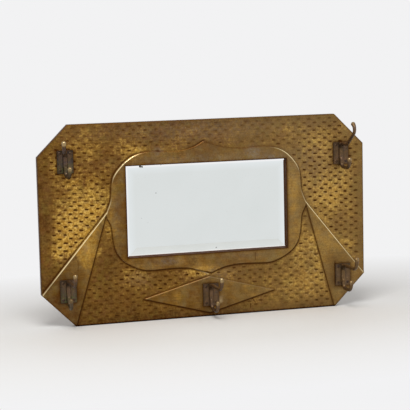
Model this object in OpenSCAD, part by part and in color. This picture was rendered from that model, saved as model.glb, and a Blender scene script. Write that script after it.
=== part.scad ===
// Hall mirror with coat hooks: an eight-sided softwood board clad in embossed sheet brass,
// with a bevelled glass let in from behind, five double hooks and two hanging rings.
// The board stands upright as it hangs: +Z up, the wall plane is y = 0, the front faces -Y.

/* [Board] */
// Width over the brass
board_w = 900; // [860:5:960]
// Height over the brass
board_h = 530; // [510:5:570]
// Thickness over the brass, without the raised panels
board_t = 18; // [17:0.5:24]
// Cut of each upper corner, across and down
top_cut = 82; // [60:1:95]
// Cut of each lower corner, across and up
bottom_cut = 88; // [75:1:100]

/* [Brass facing] */
// Thickness of the sheet brass
sheet_t = 0.8; // [0.5:0.1:1.2]
// Width of the brass turned over the back
flange_w = 12; // [8:1:14]
// Height of the raised panels over the ground
relief_h = 2.2; // [1:0.1:4]
// Radius of the brass pins in the turned edge
pin_r = 0.9; // [0.7:0.1:1.2]
// Length of those pins
pin_len = 11; // [8:0.5:13]
// Greatest spacing of those pins
pin_pitch = 90; // [60:5:120]

/* [Opening and raised surround] */
// Width of the opening that shows the glass
opening_w = 444; // [400:2:460]
// Height of the opening
opening_h = 243; // [220:1:250]
// Opening's centre, to the right of the board's centre
opening_x = 5; // [-10:1:10]
// Opening's centre, above the board's centre
opening_z = 29; // [20:1:35]
// Surround from the opening's side to its flank
side_margin = 41; // [30:1:50]
// Surround from the opening's top to its upper edge
top_margin = 33; // [26:1:40]
// Surround from the opening's bottom to its lower edge
bottom_margin = 35; // [28:1:38]
// Rise of the upper point over the upper edge
upper_point = 23; // [10:1:30]
// Drop of the lower point under the lower edge
lower_point = 19; // [8:1:20]
// Upper point, to the right of the opening's centre
upper_point_x = -9; // [-15:1:15]
// Lower point, to the right of the opening's centre
lower_point_x = 6; // [-15:1:15]
// Flank to the place where surround and wedge join
junction_out = 15; // [8:1:20]
// Height of the join between surround and wedge
neck_h = 9; // [6:1:14]
// Width of the diamond under the glass
diamond_w = 364; // [300:2:380]
// Height of the diamond
diamond_h = 99; // [80:1:102]
// Diamond's centre, above the lower edge of the board
diamond_up = 59.5; // [56:0.5:62]

/* [Glass and back] */
// Thickness of the mirror glass
glass_t = 6; // [4:0.5:6]
// Thickness left at the glass's edge by the bevel
glass_edge_t = 3; // [2:0.5:3.5]
// Width of the bevel that shows
bevel_w = 25; // [15:1:30]
// Glass hidden behind the lip on each side
glass_cover = 7; // [5:0.5:9]
// Space round the glass in its rebate
glass_clear = 3; // [2:0.5:4]
// Thickness of the felt behind the glass
felt_t = 1.2; // [0.8:0.1:1.6]
// Thickness of the backing board
backing_t = 6; // [5:0.5:7]
// Ledge that the backing board lies on
ledge_w = 12; // [9:1:14]
// Space round the backing board in its rebate
backing_clear = 0.4; // [0.2:0.1:1]
// Greatest spacing of the backing pins
backing_pitch = 120; // [80:5:160]
// Length of the blocks that centre the glass
block_len = 28; // [16:1:40]

/* [Places of the hooks] */
// Upper left plate's centre, in from the left side
top_left_in = 73; // [66:1:78]
// Upper left plate's centre, down from the upper edge
top_left_down = 96; // [90:1:110]
// Upper right plate's centre, in from the right side
top_right_in = 65; // [58:1:72]
// Upper right plate's centre, down from the upper edge
top_right_down = 107; // [98:1:114]
// Lower left plate's centre, in from the left side
bottom_left_in = 70; // [65:1:76]
// Lower left plate's centre, up from the lower edge
bottom_left_up = 95; // [90:1:100]
// Lower middle plate's centre, to the right of the diamond's centre
bottom_mid_x = 2; // [-10:1:10]
// Lower middle plate's centre, under the diamond's centre
bottom_mid_down = 0.5; // [-4:0.5:4]
// Lower right plate's centre, in from the right side
bottom_right_in = 64; // [60:1:72]
// Lower right plate's centre, up from the lower edge
bottom_right_up = 88; // [84:1:96]

/* [Hooks] */
// Width of a hook's plate
plate_w = 43; // [38:1:50]
// Height of a hook's plate
plate_h = 60; // [54:1:66]
// Thickness of a hook's plate
plate_t = 2.5; // [1.5:0.1:3.5]
// Corner radius of a hook's plate
plate_r = 2; // [1:0.5:4]
// Radius of the rib down the plate
rib_r = 6.5; // [5.5:0.5:8]
// How far the rib's centre stands off the plate
rib_off = 1.5; // [0.5:0.5:2.5]
// Radius of the hook's arms
arm_r = 4.6; // [3.5:0.1:5]
// Space between the arms and the plate's face
arm_off = 0.5; // [0.3:0.1:1]
// Radius of the knob on each arm
knob_r = 6.2; // [5:0.1:7]
// Reach of the hat arm before it curls up
hat_run = 62; // [40:1:70]
// Radius of the hat arm's curl
hat_curl = 23; // [16:1:28]
// Hat arm's centre line under the plate's upper edge
hat_sink = 3; // [1:0.5:6]
// Reach of the coat arm before it curls up
coat_run = 25; // [14:1:30]
// Radius of the coat arm's curl
coat_curl = 19; // [14:1:24]
// Coat arm's centre line under the plate's lower edge
coat_drop = 7; // [5:0.5:12]
// Radius of both arms' bend at the rib
root_curl = 12; // [10:1:16]
// Turn of both curls
curl_angle = 104; // [90:1:120]
// Reach of the hat arm that was bent up, along the arm
bent_run = 78; // [60:1:84]
// Radius of its curl
bent_curl = 15; // [12:1:20]
// Turn of its curl
bent_angle = 125; // [100:1:130]
// How far up that arm was bent
bent_up = 33; // [15:1:40]
// How far the upper left hat arm was bent sideways, to the left
hat_sideways = 12; // [0:1:15]
// How far the lower left coat arm was bent sideways, to the left
coat_sideways = 5; // [0:1:10]

/* [Screws, rivets and dowels] */
// Radius of the hook screws' shanks
screw_r = 1.75; // [1.5:0.05:2]
// Radius of their heads
screw_head_r = 4; // [3.5:0.1:4.4]
// Length of the hook screws
screw_len = 17; // [14:0.5:18]
// Hook screws to the side of the plate's centre line
screw_dx = 14; // [12:0.5:15]
// Hook screws above and below the plate's centre
screw_dz = 22; // [16:0.5:23]
// Radius of the rivets between rib and plate
rivet_r = 2; // [1.5:0.1:2.5]
// How deep the rivets enter the rib
rivet_bite = 4; // [3:0.5:5]
// Rivets above and below the plate's centre
rivet_dz = 15; // [10:1:20]
// Radius of the dowels through the lap joints
dowel_r = 4; // [3:0.5:5]
// Timber left in front of a dowel
dowel_skin = 3; // [2:0.5:4]

/* [Hanging rings] */
// Rings to each side of the board's centre
ring_dx = 150; // [100:5:180]
// Ring pivots under the middle of the timber between the back's ledge and the upper edge
ring_down = 6.75; // [5:0.25:8]
// Depth of the pocket behind each ring
pocket_d = 7; // [6.5:0.1:8]
// Width of the pocket
pocket_w = 36; // [34:1:40]
// Room in the pocket past the ring and past the strap
pocket_room = 3; // [2:0.5:4]
// Radius of the ring's wire
wire_r = 1.5; // [1.2:0.1:1.6]
// Clear width inside the ring
ring_in_w = 22; // [20:1:24]
// Length of the ring's straight sides
ring_leg = 3; // [2:0.5:5]
// Corner radius of the ring's wire
ring_corner = 4; // [3:0.5:5]
// Thickness of the strap's brass
strap_t = 1.2; // [0.8:0.1:1.4]
// Width of the strap
strap_w = 13; // [11:1:14]
// Length of the strap above the pivot
strap_len = 30; // [27:1:31]
// Radial clearance of the wire in the strap's knuckle
ring_fit = 0.06; // [0.02:0.01:0.1]
// Radius of the strap screws' shanks
strap_screw_r = 1.4; // [1.2:0.1:1.6]
// Radius of their heads
strap_screw_head_r = 2.8; // [2.4:0.1:3.2]
// Length of the strap screws
strap_screw_len = 9; // [6:0.5:9]

/* [Hidden] */

$fn = 48;
BRASS = "#8a6526";
BRONZE = "#4a3228";
PINE = "#b48c5c";
PLY = "#a5814f";
FELT = "#4c4a44";
GLASS = "#d5dcdb";
STEEL = "#7d7a72";

// Cutting solids run this far past the faces that they cut
past = 1;

// Depths, from the wall plane forwards
core_front = -(board_t - sheet_t);
lap_y = core_front / 2;
felt_back = -backing_t;
glass_back = felt_back - felt_t;
lip_back = glass_back - glass_edge_t;
ground_y = -board_t;
panel_y = ground_y - relief_h;

// Edges of the opening
left = opening_x - opening_w / 2;
right = opening_x + opening_w / 2;
top = opening_z + opening_h / 2;
bottom = opening_z - opening_h / 2;
rebate_out = glass_cover + glass_clear;
ledge_out = rebate_out + ledge_w;

// The diamond's centre, up
diamond_z = -board_h / 2 + diamond_up;

// Each hook: centre across, centre up, stands on a raised panel, hat arm bent up by,
// hat arm bent sideways by, coat arm bent sideways by
hooks = [
    [-board_w / 2 + top_left_in, board_h / 2 - top_left_down, false, 0, -hat_sideways, 0],
    [board_w / 2 - top_right_in, board_h / 2 - top_right_down, false, bent_up, 0, 0],
    [-board_w / 2 + bottom_left_in, -board_h / 2 + bottom_left_up, true, 0, 0, -coat_sideways],
    [opening_x + bottom_mid_x, diamond_z - bottom_mid_down, true, 0, 0, 0],
    [board_w / 2 - bottom_right_in, -board_h / 2 + bottom_right_up, true, 0, 0, 0]
];

// Half length of the hook's straight rib, whose round ends stop short of the plate's edges
rib_half = plate_h / 2 - rib_r + 0.5;

// Smooth curve through a list of points, left out the last one, with steps points a stretch
steps = 4;
function blend4(a, b, c, d, t) =
    0.5 * (2 * b + (c - a) * t + (2 * a - 5 * b + 4 * c - d) * t * t
    + (3 * b - a - 3 * c + d) * t * t * t);
function through(p) = [
    for (i = [0:len(p) - 2], k = [0:steps - 1])
        blend4(p[max(i - 1, 0)], p[i], p[i + 1], p[min(i + 2, len(p) - 1)], k / steps)
];
function backwards(p) = [for (i = [len(p) - 1:-1:0]) p[i]];

// A closed outline drawn inwards by d; the outline runs clockwise
function unit(v) = v / norm(v);
function side_of(a, b) = let (u = unit(b - a)) [u[1], -u[0]];
function inset(p, d) = [
    for (i = [0:len(p) - 1])
        let (
            before = side_of(p[(i + len(p) - 1) % len(p)], p[i]),
            after = side_of(p[i], p[(i + 1) % len(p)])
        )
        p[i] + (before + after) * d / (1 + before * after)
];

// The board's eight corners, clockwise from the upper left, seen from the front
outline = [
    [-board_w / 2 + top_cut, board_h / 2], [board_w / 2 - top_cut, board_h / 2],
    [board_w / 2, board_h / 2 - top_cut], [board_w / 2, -board_h / 2 + bottom_cut],
    [board_w / 2 - bottom_cut, -board_h / 2], [-board_w / 2 + bottom_cut, -board_h / 2],
    [-board_w / 2, -board_h / 2 + bottom_cut], [-board_w / 2, board_h / 2 - top_cut]
];

// Raised surround, one side at a time: s is 1 on the right and -1 on the left
function flank(s) = s > 0 ? right : left;
function out_by(s, d, z) = [flank(s) + s * d, z];
function mid_by(s, d, z) = [opening_x + s * d, z];
upper_tip = [opening_x + upper_point_x, top + top_margin + upper_point];
lower_tip = [opening_x + lower_point_x, bottom - bottom_margin - lower_point];
function upper_side(s) = [
    upper_tip,
    mid_by(s, 30, top + top_margin + upper_point / 2),
    mid_by(s, 65, top + top_margin + 2),
    mid_by(s, 110, top + top_margin),
    out_by(s, -70, top + top_margin + 3),
    out_by(s, -29, top + top_margin - 2),
    out_by(s, 1, top + top_margin - 17),
    out_by(s, side_margin - 16, top - 9),
    out_by(s, side_margin - 3, top - 34),
    out_by(s, side_margin, top - 68),
    out_by(s, side_margin + 3, opening_z + 30),
    out_by(s, side_margin + junction_out, opening_z)
];
function lower_side(s) = [
    out_by(s, side_margin + junction_out, opening_z - neck_h),
    out_by(s, side_margin + 6, opening_z - neck_h - 14),
    out_by(s, side_margin + 1, opening_z - neck_h - 28),
    out_by(s, side_margin - 1, opening_z - neck_h - 48),
    out_by(s, side_margin - 4, bottom + 40),
    out_by(s, side_margin - 11, bottom + 16),
    out_by(s, side_margin - 26, bottom - bottom_margin + 30),
    out_by(s, -8, bottom - bottom_margin + 14),
    out_by(s, -36, bottom - bottom_margin + 2),
    out_by(s, -62, bottom - bottom_margin - 2),
    mid_by(s, 95, bottom - bottom_margin),
    mid_by(s, 55, bottom - bottom_margin - 3),
    mid_by(s, 25, bottom - bottom_margin - 11),
    lower_tip
];
surround = concat(
    through(upper_side(1)), [out_by(1, side_margin + junction_out, opening_z)],
    [outline[3], outline[4]],
    through(lower_side(1)),
    backwards(concat(through(lower_side(-1)), [lower_tip])),
    [outline[5], outline[6]],
    backwards(concat(through(upper_side(-1)), [out_by(-1, side_margin + junction_out, opening_z)]))
);
panel_outline = [for (i = [0:len(surround) - 2]) if (surround[i] != surround[i + 1]) surround[i]];

diamond_outline = [
    [opening_x, diamond_z + diamond_h / 2], [opening_x + diamond_w / 2, diamond_z],
    [opening_x, diamond_z - diamond_h / 2], [opening_x - diamond_w / 2, diamond_z]
];

// Pins along the outline, in the middle of the turned edge
pin_line = inset(outline, flange_w / 2);
function spots(a, b, pitch) =
    let (n = ceil(norm(b - a) / pitch)) [for (k = [0:n - 1]) a + (b - a) * (k + 0.5) / n];
pin_spots = [
    for (i = [0:len(pin_line) - 1])
        each spots(pin_line[i], pin_line[(i + 1) % len(pin_line)], pin_pitch)
];

// Pins of the backing board, in the middle of its ledge
backing_line = [
    [left - ledge_out + ledge_w / 2, top + ledge_out - ledge_w / 2],
    [right + ledge_out - ledge_w / 2, top + ledge_out - ledge_w / 2],
    [right + ledge_out - ledge_w / 2, bottom - ledge_out + ledge_w / 2],
    [left - ledge_out + ledge_w / 2, bottom - ledge_out + ledge_w / 2]
];
backing_spots = [
    for (i = [0:3]) each spots(backing_line[i], backing_line[(i + 1) % 4], backing_pitch)
];

// Two dowels in each lap joint, measured from the opening's corner
dowel_places = [[50, 40], [110, 75]];
dowel_spots = [
    for (s = [-1, 1], v = [-1, 1], d = dowel_places)
        [flank(s) + s * d[0], (v > 0 ? top : bottom) + v * d[1]]
];

knuckle_r = wire_r + ring_fit + strap_t;
ring_y = -pocket_d + knuckle_r;
ring_z = (top + ledge_out + board_h / 2) / 2 - ring_down;
ring_half = ring_in_w / 2 + wire_r;
ring_drop = ring_corner + ring_leg + ring_half;
strap_holes = [strap_len * 0.3, strap_len * 0.87];

// A slab between two depths, with its outline seen from the front
module slab(y0, y1) {
    rotate([90, 0, 0]) translate([0, 0, -y1]) linear_extrude(y1 - y0) children();
}

// A box between two depths that reaches out_by past the opening on every side
module opening_box(y0, y1, grow) {
    translate([left - grow, y0, bottom - grow])
        cube([opening_w + 2 * grow, y1 - y0, opening_h + 2 * grow]);
}

// A plain round peg along +Y from a place on a given depth
module peg(place, y, r, h) {
    translate([place[0], y, place[1]]) rotate([-90, 0, 0]) cylinder(h = h, r = r);
}

// Countersunk screw: the head's flat face lies at y and the shank runs along +Y
module screw(place, y, r, head_r, h) {
    translate([place[0], y, place[1]]) rotate([-90, 0, 0]) {
        cylinder(h = head_r - r, r1 = head_r, r2 = r);
        cylinder(h = h, r = r);
    }
}

module hook_screw_set(i) {
    y = plate_y(i) - plate_t;
    for (sx = [-1, 1], sz = [-1, 1])
        screw([hooks[i][0] + sx * screw_dx, hooks[i][1] + sz * screw_dz],
            y, screw_r, screw_head_r, screw_len);
}

module pins(list, y, h) {
    for (p = list) peg(p, y - h, pin_r, h);
}

module dowels() {
    for (p = dowel_spots) peg(p, core_front + dowel_skin, dowel_r, -core_front - dowel_skin);
}

// Depth of the face that a hook's plate is screwed to
function plate_y(i) = hooks[i][2] ? panel_y : ground_y;

// ---- Timber frame -------------------------------------------------------------------

// Everything that is cut out of the four boards
module timber_cuts() {
    opening_box(core_front - past, past, sheet_t);
    opening_box(lip_back, past, rebate_out);
    opening_box(felt_back, past, ledge_out);
    for (s = [-1, 1]) ring_pocket(s);
    for (i = [0:len(hooks) - 1]) hook_screw_set(i);
    pins(pin_spots, 0, pin_len);
    pins(backing_spots, 0, pin_len);
    dowels();
    for (s = [-1, 1]) strap_screw_pair(s);
}

// The board's full form inside the brass
module timber_form() {
    slab(core_front, -sheet_t) polygon(inset(outline, sheet_t));
    slab(-sheet_t, 0) polygon(inset(outline, flange_w));
}

// A full-length rail: thinned behind each end, where the stiles lap over it
module rail(v) {
    near = v > 0 ? top + sheet_t : bottom - sheet_t;
    far = v * board_h / 2;
    difference() {
        intersection() {
            timber_form();
            translate([-board_w / 2, core_front, min(near, far)])
                cube([board_w, -core_front, abs(far - near)]);
        }
        for (s = [-1, 1]) {
            inner = flank(s) + s * sheet_t;
            outer = s * board_w / 2;
            translate([min(inner, outer), lap_y, min(near, far) - past])
                cube([abs(outer - inner), -lap_y + past, abs(far - near) + 2 * past]);
        }
        timber_cuts();
    }
}

// A stile: full thickness between the rails, back half only where it laps over them
module stile(s) {
    inner = flank(s) + s * sheet_t;
    outer = s * board_w / 2;
    difference() {
        intersection() {
            timber_form();
            union() {
                translate([min(inner, outer), core_front, bottom - sheet_t])
                    cube([abs(outer - inner), -core_front, opening_h + 2 * sheet_t]);
                translate([min(inner, outer), lap_y, -board_h / 2])
                    cube([abs(outer - inner), -lap_y, board_h]);
            }
        }
        timber_cuts();
    }
}

module rail_top() { color(PINE) rail(1); }
module rail_bottom() { color(PINE) rail(-1); }
module stile_left() { color(PINE) stile(-1); }
module stile_right() { color(PINE) stile(1); }
module lap_dowels() { color("#c39a63") dowels(); }

// ---- Brass facing -------------------------------------------------------------------

// One sheet: ground, raised panels, edges turned over the back and into the opening
module brass_facing() {
    color(BRASS) difference() {
        union() {
            slab(ground_y, 0) polygon(outline);
            slab(panel_y, core_front) polygon(panel_outline);
            slab(panel_y, core_front) polygon(diamond_outline);
        }
        difference() {
            union() {
                timber_form();
                slab(-sheet_t - past, past) polygon(inset(outline, flange_w));
                slab(panel_y + sheet_t, core_front + past) polygon(inset(panel_outline, sheet_t));
                slab(panel_y + sheet_t, core_front + past) polygon(inset(diamond_outline, sheet_t));
            }
            opening_box(panel_y, lip_back, sheet_t);
        }
        opening_box(panel_y - past, past, 0);
        for (i = [0:len(hooks) - 1]) hook_screw_set(i);
        pins(pin_spots, 0, pin_len);
    }
}

module facing_pins() { color(BRASS) pins(pin_spots, 0, pin_len); }

// ---- Glass and back -----------------------------------------------------------------

// Cross-section of the glass for a given half size, front downwards
function glass_section(half) = [
    [-half, glass_back], [-half, lip_back], [-half + glass_cover, lip_back],
    [-half + glass_cover + bevel_w, glass_back - glass_t],
    [half - glass_cover - bevel_w, glass_back - glass_t],
    [half - glass_cover, lip_back], [half, lip_back], [half, glass_back]
];

module mirror_glass() {
    half_w = opening_w / 2 + glass_cover;
    half_h = opening_h / 2 + glass_cover;
    color(GLASS) translate([opening_x, 0, opening_z]) intersection() {
        translate([0, 0, -half_h]) linear_extrude(2 * half_h) polygon(glass_section(half_w));
        rotate([0, 90, 0]) translate([0, 0, -half_w]) linear_extrude(2 * half_w)
            polygon(glass_section(half_h));
    }
}

// Softwood blocks that hold the glass centred in its rebate, two a side
block_places = [-0.3, 0.3];
module glass_blocks() {
    color("#9c7748") for (f = block_places, s = [-1, 1]) {
        translate([opening_x + f * opening_w - block_len / 2, lip_back,
            s > 0 ? top + glass_cover : bottom - rebate_out])
            cube([block_len, glass_back - lip_back, glass_clear]);
        translate([s > 0 ? right + glass_cover : left - rebate_out, lip_back,
            opening_z + f * opening_h - block_len / 2])
            cube([glass_clear, glass_back - lip_back, block_len]);
    }
}

module felt_sheet() {
    color(FELT) opening_box(glass_back, felt_back, rebate_out - backing_clear);
}

module backing_board() {
    color(PLY) difference() {
        opening_box(felt_back, 0, ledge_out - backing_clear);
        pins(backing_spots, 0, pin_len);
    }
}

module backing_pins() { color(STEEL) pins(backing_spots, 0, pin_len); }

// ---- Hooks --------------------------------------------------------------------------

module rivets(i) {
    for (sz = [-1, 1])
        peg([hooks[i][0], hooks[i][1] + sz * rivet_dz], plate_y(i) - plate_t - rivet_bite,
            rivet_r, plate_t + rivet_bite);
}

module hook_plate(i) {
    color(BRONZE) difference() {
        translate([hooks[i][0], plate_y(i), hooks[i][1]]) rotate([90, 0, 0]) union() {
            translate([-plate_w / 2 + plate_r, -plate_h / 2, 0])
                cube([plate_w - 2 * plate_r, plate_h, plate_t]);
            translate([-plate_w / 2, -plate_h / 2 + plate_r, 0])
                cube([plate_w, plate_h - 2 * plate_r, plate_t]);
            for (sx = [-1, 1], sz = [-1, 1])
                translate([sx * (plate_w / 2 - plate_r), sz * (plate_h / 2 - plate_r), 0])
                    cylinder(h = plate_t, r = plate_r);
        }
        hook_screw_set(i);
        rivets(i);
    }
}

// A round bar that starts up the Z axis and turns towards +X for a positive angle.
// Each step is a straight run, then a bend: [length, bend radius, bend angle].
// The straight runs are a touch thinner and reach into the bends at both ends.
run_reach = 1;
run_thin = 0.1;
module round_bar(path, r, i = 0) {
    if (i < len(path)) {
        run = path[i][0];
        curl = path[i][1];
        turn = path[i][2];
        if (run > 0) translate([0, 0, -run_reach])
            cylinder(h = run + 2 * run_reach, r = r - run_thin);
        translate([0, 0, run]) {
            mirror([turn < 0 ? 1 : 0, 0, 0])
                translate([curl, 0, 0]) rotate([90, 0, 180])
                    rotate_extrude(angle = abs(turn)) translate([curl, 0]) circle(r = r);
            translate([sign(turn) * curl * (1 - cos(turn)), 0, curl * sin(abs(turn))])
                rotate([0, turn, 0]) round_bar(path, r, i + 1);
        }
    } else {
        sphere(r = knob_r);
    }
}

// A double hook: a half-round rib on the plate, a hat arm above and a coat arm below.
// x points away from the plate here.
module hook_form(hat_up, hat_side, coat_side) {
    intersection() {
        union() {
            translate([rib_off, 0, -rib_half]) cylinder(h = 2 * rib_half, r = rib_r);
            for (s = [-1, 1]) translate([rib_off, 0, s * rib_half]) sphere(r = rib_r);
        }
        translate([0, -plate_w, -plate_h]) cube([plate_w, 2 * plate_w, 2 * plate_h]);
    }
    start = [0, root_curl, 90];
    hat_path = hat_up == 0 ? [start, [hat_run, hat_curl, -curl_angle]]
        : [start, [bent_run / 3, root_curl, -hat_up], [bent_run * 2 / 3, bent_curl, -bent_angle]];
    translate([arm_r + arm_off, 0, plate_h / 2 - hat_sink - root_curl]) rotate([0, 0, hat_side])
        round_bar(hat_path, arm_r);
    translate([arm_r + arm_off, 0, -plate_h / 2 - coat_drop + 2 * root_curl]) rotate([0, 0, coat_side])
        mirror([0, 0, 1])
            round_bar([[root_curl, root_curl, 90], [coat_run, coat_curl, curl_angle]], arm_r);
}

module hook(i) {
    color(BRONZE) difference() {
        translate([hooks[i][0], plate_y(i) - plate_t, hooks[i][1]]) rotate([0, 0, -90])
            hook_form(hooks[i][3], hooks[i][4], hooks[i][5]);
        rivets(i);
    }
}

module hook_plate_top_left() { hook_plate(0); }
module hook_plate_top_right() { hook_plate(1); }
module hook_plate_bottom_left() { hook_plate(2); }
module hook_plate_bottom_mid() { hook_plate(3); }
module hook_plate_bottom_right() { hook_plate(4); }
module hook_top_left() { hook(0); }
module hook_top_right() { hook(1); }
module hook_bottom_left() { hook(2); }
module hook_bottom_mid() { hook(3); }
module hook_bottom_right() { hook(4); }

module hook_rivets() { color(BRASS) for (i = [0:len(hooks) - 1]) rivets(i); }
module hook_screws() { color(BRONZE) for (i = [0:len(hooks) - 1]) hook_screw_set(i); }

// ---- Hanging rings ------------------------------------------------------------------

// Pocket in the back of the upper rail; its length leaves room for the ring up or down
module ring_pocket(s) {
    low = ring_z - ring_drop - wire_r - pocket_room;
    high = ring_z + strap_len + pocket_room;
    translate([s * ring_dx - pocket_w / 2, -pocket_d, low])
        cube([pocket_w, pocket_d + past, high - low]);
}

module strap_screw_pair(s) {
    for (up = strap_holes)
        mirror([0, 1, 0]) screw([s * ring_dx, ring_z + up], pocket_d - strap_t,
            strap_screw_r, strap_screw_head_r, strap_screw_len);
}

// Brass strap folded round the ring's straight side
module ring_strap(s) {
    color(BRASS) difference() {
        translate([s * ring_dx, 0, ring_z]) union() {
            translate([-strap_w / 2, ring_y, 0]) rotate([0, 90, 0])
                cylinder(h = strap_w, r = knuckle_r);
            translate([-strap_w / 2, -pocket_d, 0]) cube([strap_w, strap_t, strap_len]);
        }
        translate([s * ring_dx - strap_w / 2 - past, ring_y, ring_z]) rotate([0, 90, 0])
            cylinder(h = strap_w + 2 * past, r = wire_r + ring_fit);
        strap_screw_pair(s);
    }
}

// Closed wire loop: straight side through the knuckle, round corners, half-round bow
module ring_side() {
    flat = ring_half - ring_corner;
    rotate([0, 90, 0]) cylinder(h = flat, r = wire_r);
    translate([flat, 0, -ring_corner]) rotate([90, 0, 0])
        rotate_extrude(angle = 90) translate([ring_corner, 0]) circle(r = wire_r);
    translate([ring_half, 0, -ring_corner - ring_leg]) cylinder(h = ring_leg, r = wire_r);
    translate([0, 0, -ring_corner - ring_leg]) rotate([-90, 0, 0])
        rotate_extrude(angle = 90) translate([ring_half, 0]) circle(r = wire_r);
}

module hanging_ring(s) {
    color(BRASS) translate([s * ring_dx, ring_y, ring_z]) union() {
        ring_side();
        mirror([1, 0, 0]) ring_side();
    }
}

module ring_strap_left() { ring_strap(-1); }
module ring_strap_right() { ring_strap(1); }
module hanging_ring_left() { hanging_ring(-1); }
module hanging_ring_right() { hanging_ring(1); }
module ring_screws() { color(STEEL) for (s = [-1, 1]) strap_screw_pair(s); }

rail_top();
rail_bottom();
stile_left();
stile_right();
lap_dowels();
brass_facing();
facing_pins();
mirror_glass();
glass_blocks();
felt_sheet();
backing_board();
backing_pins();
hook_plate_top_left();
hook_plate_top_right();
hook_plate_bottom_left();
hook_plate_bottom_mid();
hook_plate_bottom_right();
hook_top_left();
hook_top_right();
hook_bottom_left();
hook_bottom_mid();
hook_bottom_right();
hook_rivets();
hook_screws();
ring_strap_left();
ring_strap_right();
hanging_ring_left();
hanging_ring_right();
ring_screws();
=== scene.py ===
import math
import random
from functools import partial

import bmesh
import bpy
import numpy as np
from mathutils import Matrix, Vector, geometry, kdtree


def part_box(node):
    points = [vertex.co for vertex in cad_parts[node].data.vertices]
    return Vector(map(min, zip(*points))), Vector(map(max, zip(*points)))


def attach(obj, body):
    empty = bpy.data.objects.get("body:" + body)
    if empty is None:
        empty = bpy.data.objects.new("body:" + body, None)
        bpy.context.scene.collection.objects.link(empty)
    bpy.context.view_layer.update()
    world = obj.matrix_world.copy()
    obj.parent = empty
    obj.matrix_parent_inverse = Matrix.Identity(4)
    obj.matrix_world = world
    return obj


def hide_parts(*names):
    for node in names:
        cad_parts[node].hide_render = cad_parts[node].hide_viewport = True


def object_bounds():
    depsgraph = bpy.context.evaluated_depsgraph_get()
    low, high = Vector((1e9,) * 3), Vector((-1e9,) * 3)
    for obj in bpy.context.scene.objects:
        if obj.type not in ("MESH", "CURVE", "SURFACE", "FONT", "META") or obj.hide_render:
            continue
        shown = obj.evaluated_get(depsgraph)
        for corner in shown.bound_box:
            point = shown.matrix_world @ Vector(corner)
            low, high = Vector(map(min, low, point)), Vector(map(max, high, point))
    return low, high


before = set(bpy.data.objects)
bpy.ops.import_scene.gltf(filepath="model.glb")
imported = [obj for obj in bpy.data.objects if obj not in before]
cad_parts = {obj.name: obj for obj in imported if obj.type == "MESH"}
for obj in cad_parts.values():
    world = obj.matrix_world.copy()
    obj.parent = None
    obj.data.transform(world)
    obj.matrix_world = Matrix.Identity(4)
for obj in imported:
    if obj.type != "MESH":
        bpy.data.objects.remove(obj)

cad_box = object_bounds()
MM = 0.001

# ---- Timber boards ------------------------------------------------------------------
# Four planed pine boards, half-lapped at the corners into one frame. Only their backs
# show: dry, brown with age, with the growth rings cut lengthwise and a sawn fibre.

RING = 5 * MM  # from one growth ring to the next
FIBRE = (111 * MM, 1.6667 * MM)  # length and thickness of the fibres, coarse so that they show
TILT = math.radians(1.6)  # of the board in its log
BOARDS = {  # runs along x, place in the log in metres, colours of its early and late wood
    "rail_top": (True, 0.3, "#9A784C", "#7F5C35"),
    "rail_bottom": (True, 1.7, "#94714A", "#7A5833"),
    "stile_left": (False, 0.6, "#8C6840", "#74522E"),
    "stile_right": (False, 1.4, "#906C44", "#765430"),
}


def linear(hex_code):
    """An sRGB hex colour as the linear RGBA that a colour socket holds."""
    parts = [int(hex_code[i:i + 2], 16) / 255 for i in (1, 3, 5)]
    return (*[c / 12.92 if c < 0.04045 else ((c + 0.055) / 1.055) ** 2.4 for c in parts], 1)


def add(tree, kind, *inputs, out=None, **named):
    """Adds a node and returns its first output, or the one that out names. Inputs come in their
    order or by name, with a capital: numbers, colours, sockets or lists of sockets. The other
    names are the node's settings."""
    node = tree.nodes.new(kind if "Node" in kind else "ShaderNode" + kind)
    for name, value in named.items():
        if name[0].islower():
            setattr(node, name, value)
    given = list(zip([socket for socket in node.inputs if socket.enabled], inputs))
    given += [(node.inputs[name.replace("_", " ")], value)
              for name, value in named.items() if name[0].isupper()]
    for socket, value in given:
        for source in value if isinstance(value, list) else [value]:
            if isinstance(source, bpy.types.NodeSocket):
                tree.links.new(source, socket)
            else:
                socket.default_value = source
    return node.outputs[out] if out else next((s for s in node.outputs if s.enabled), None)


def start_material(name):
    """A new material, the function that adds nodes to it, and places in the object's metres."""
    material = bpy.data.materials.new(name)
    material.use_nodes = True
    material.node_tree.nodes.clear()
    node = partial(add, material.node_tree)
    return material, node, node("TexCoord", out="Object")


def coats(node, colour, *over):
    """A colour under coats of others. How strong a coat is comes from a socket, or from a range:
    a socket, its values where the coat starts and is full, and the strengths there."""
    colour = linear(colour)
    for strength, hex_code in over:
        if isinstance(strength, tuple):
            strength = node("MapRange", *strength)
        colour = node("Mix", strength, colour, linear(hex_code), data_type="RGBA")
    return colour


def surface(node, height, depth, **finish):
    """Ends a material: its shader, with a bump of a real depth in metres."""
    bump = node("Bump", Height=height, Distance=depth)
    node("OutputMaterial", node("BsdfPrincipled", Normal=bump, **finish))


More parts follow.
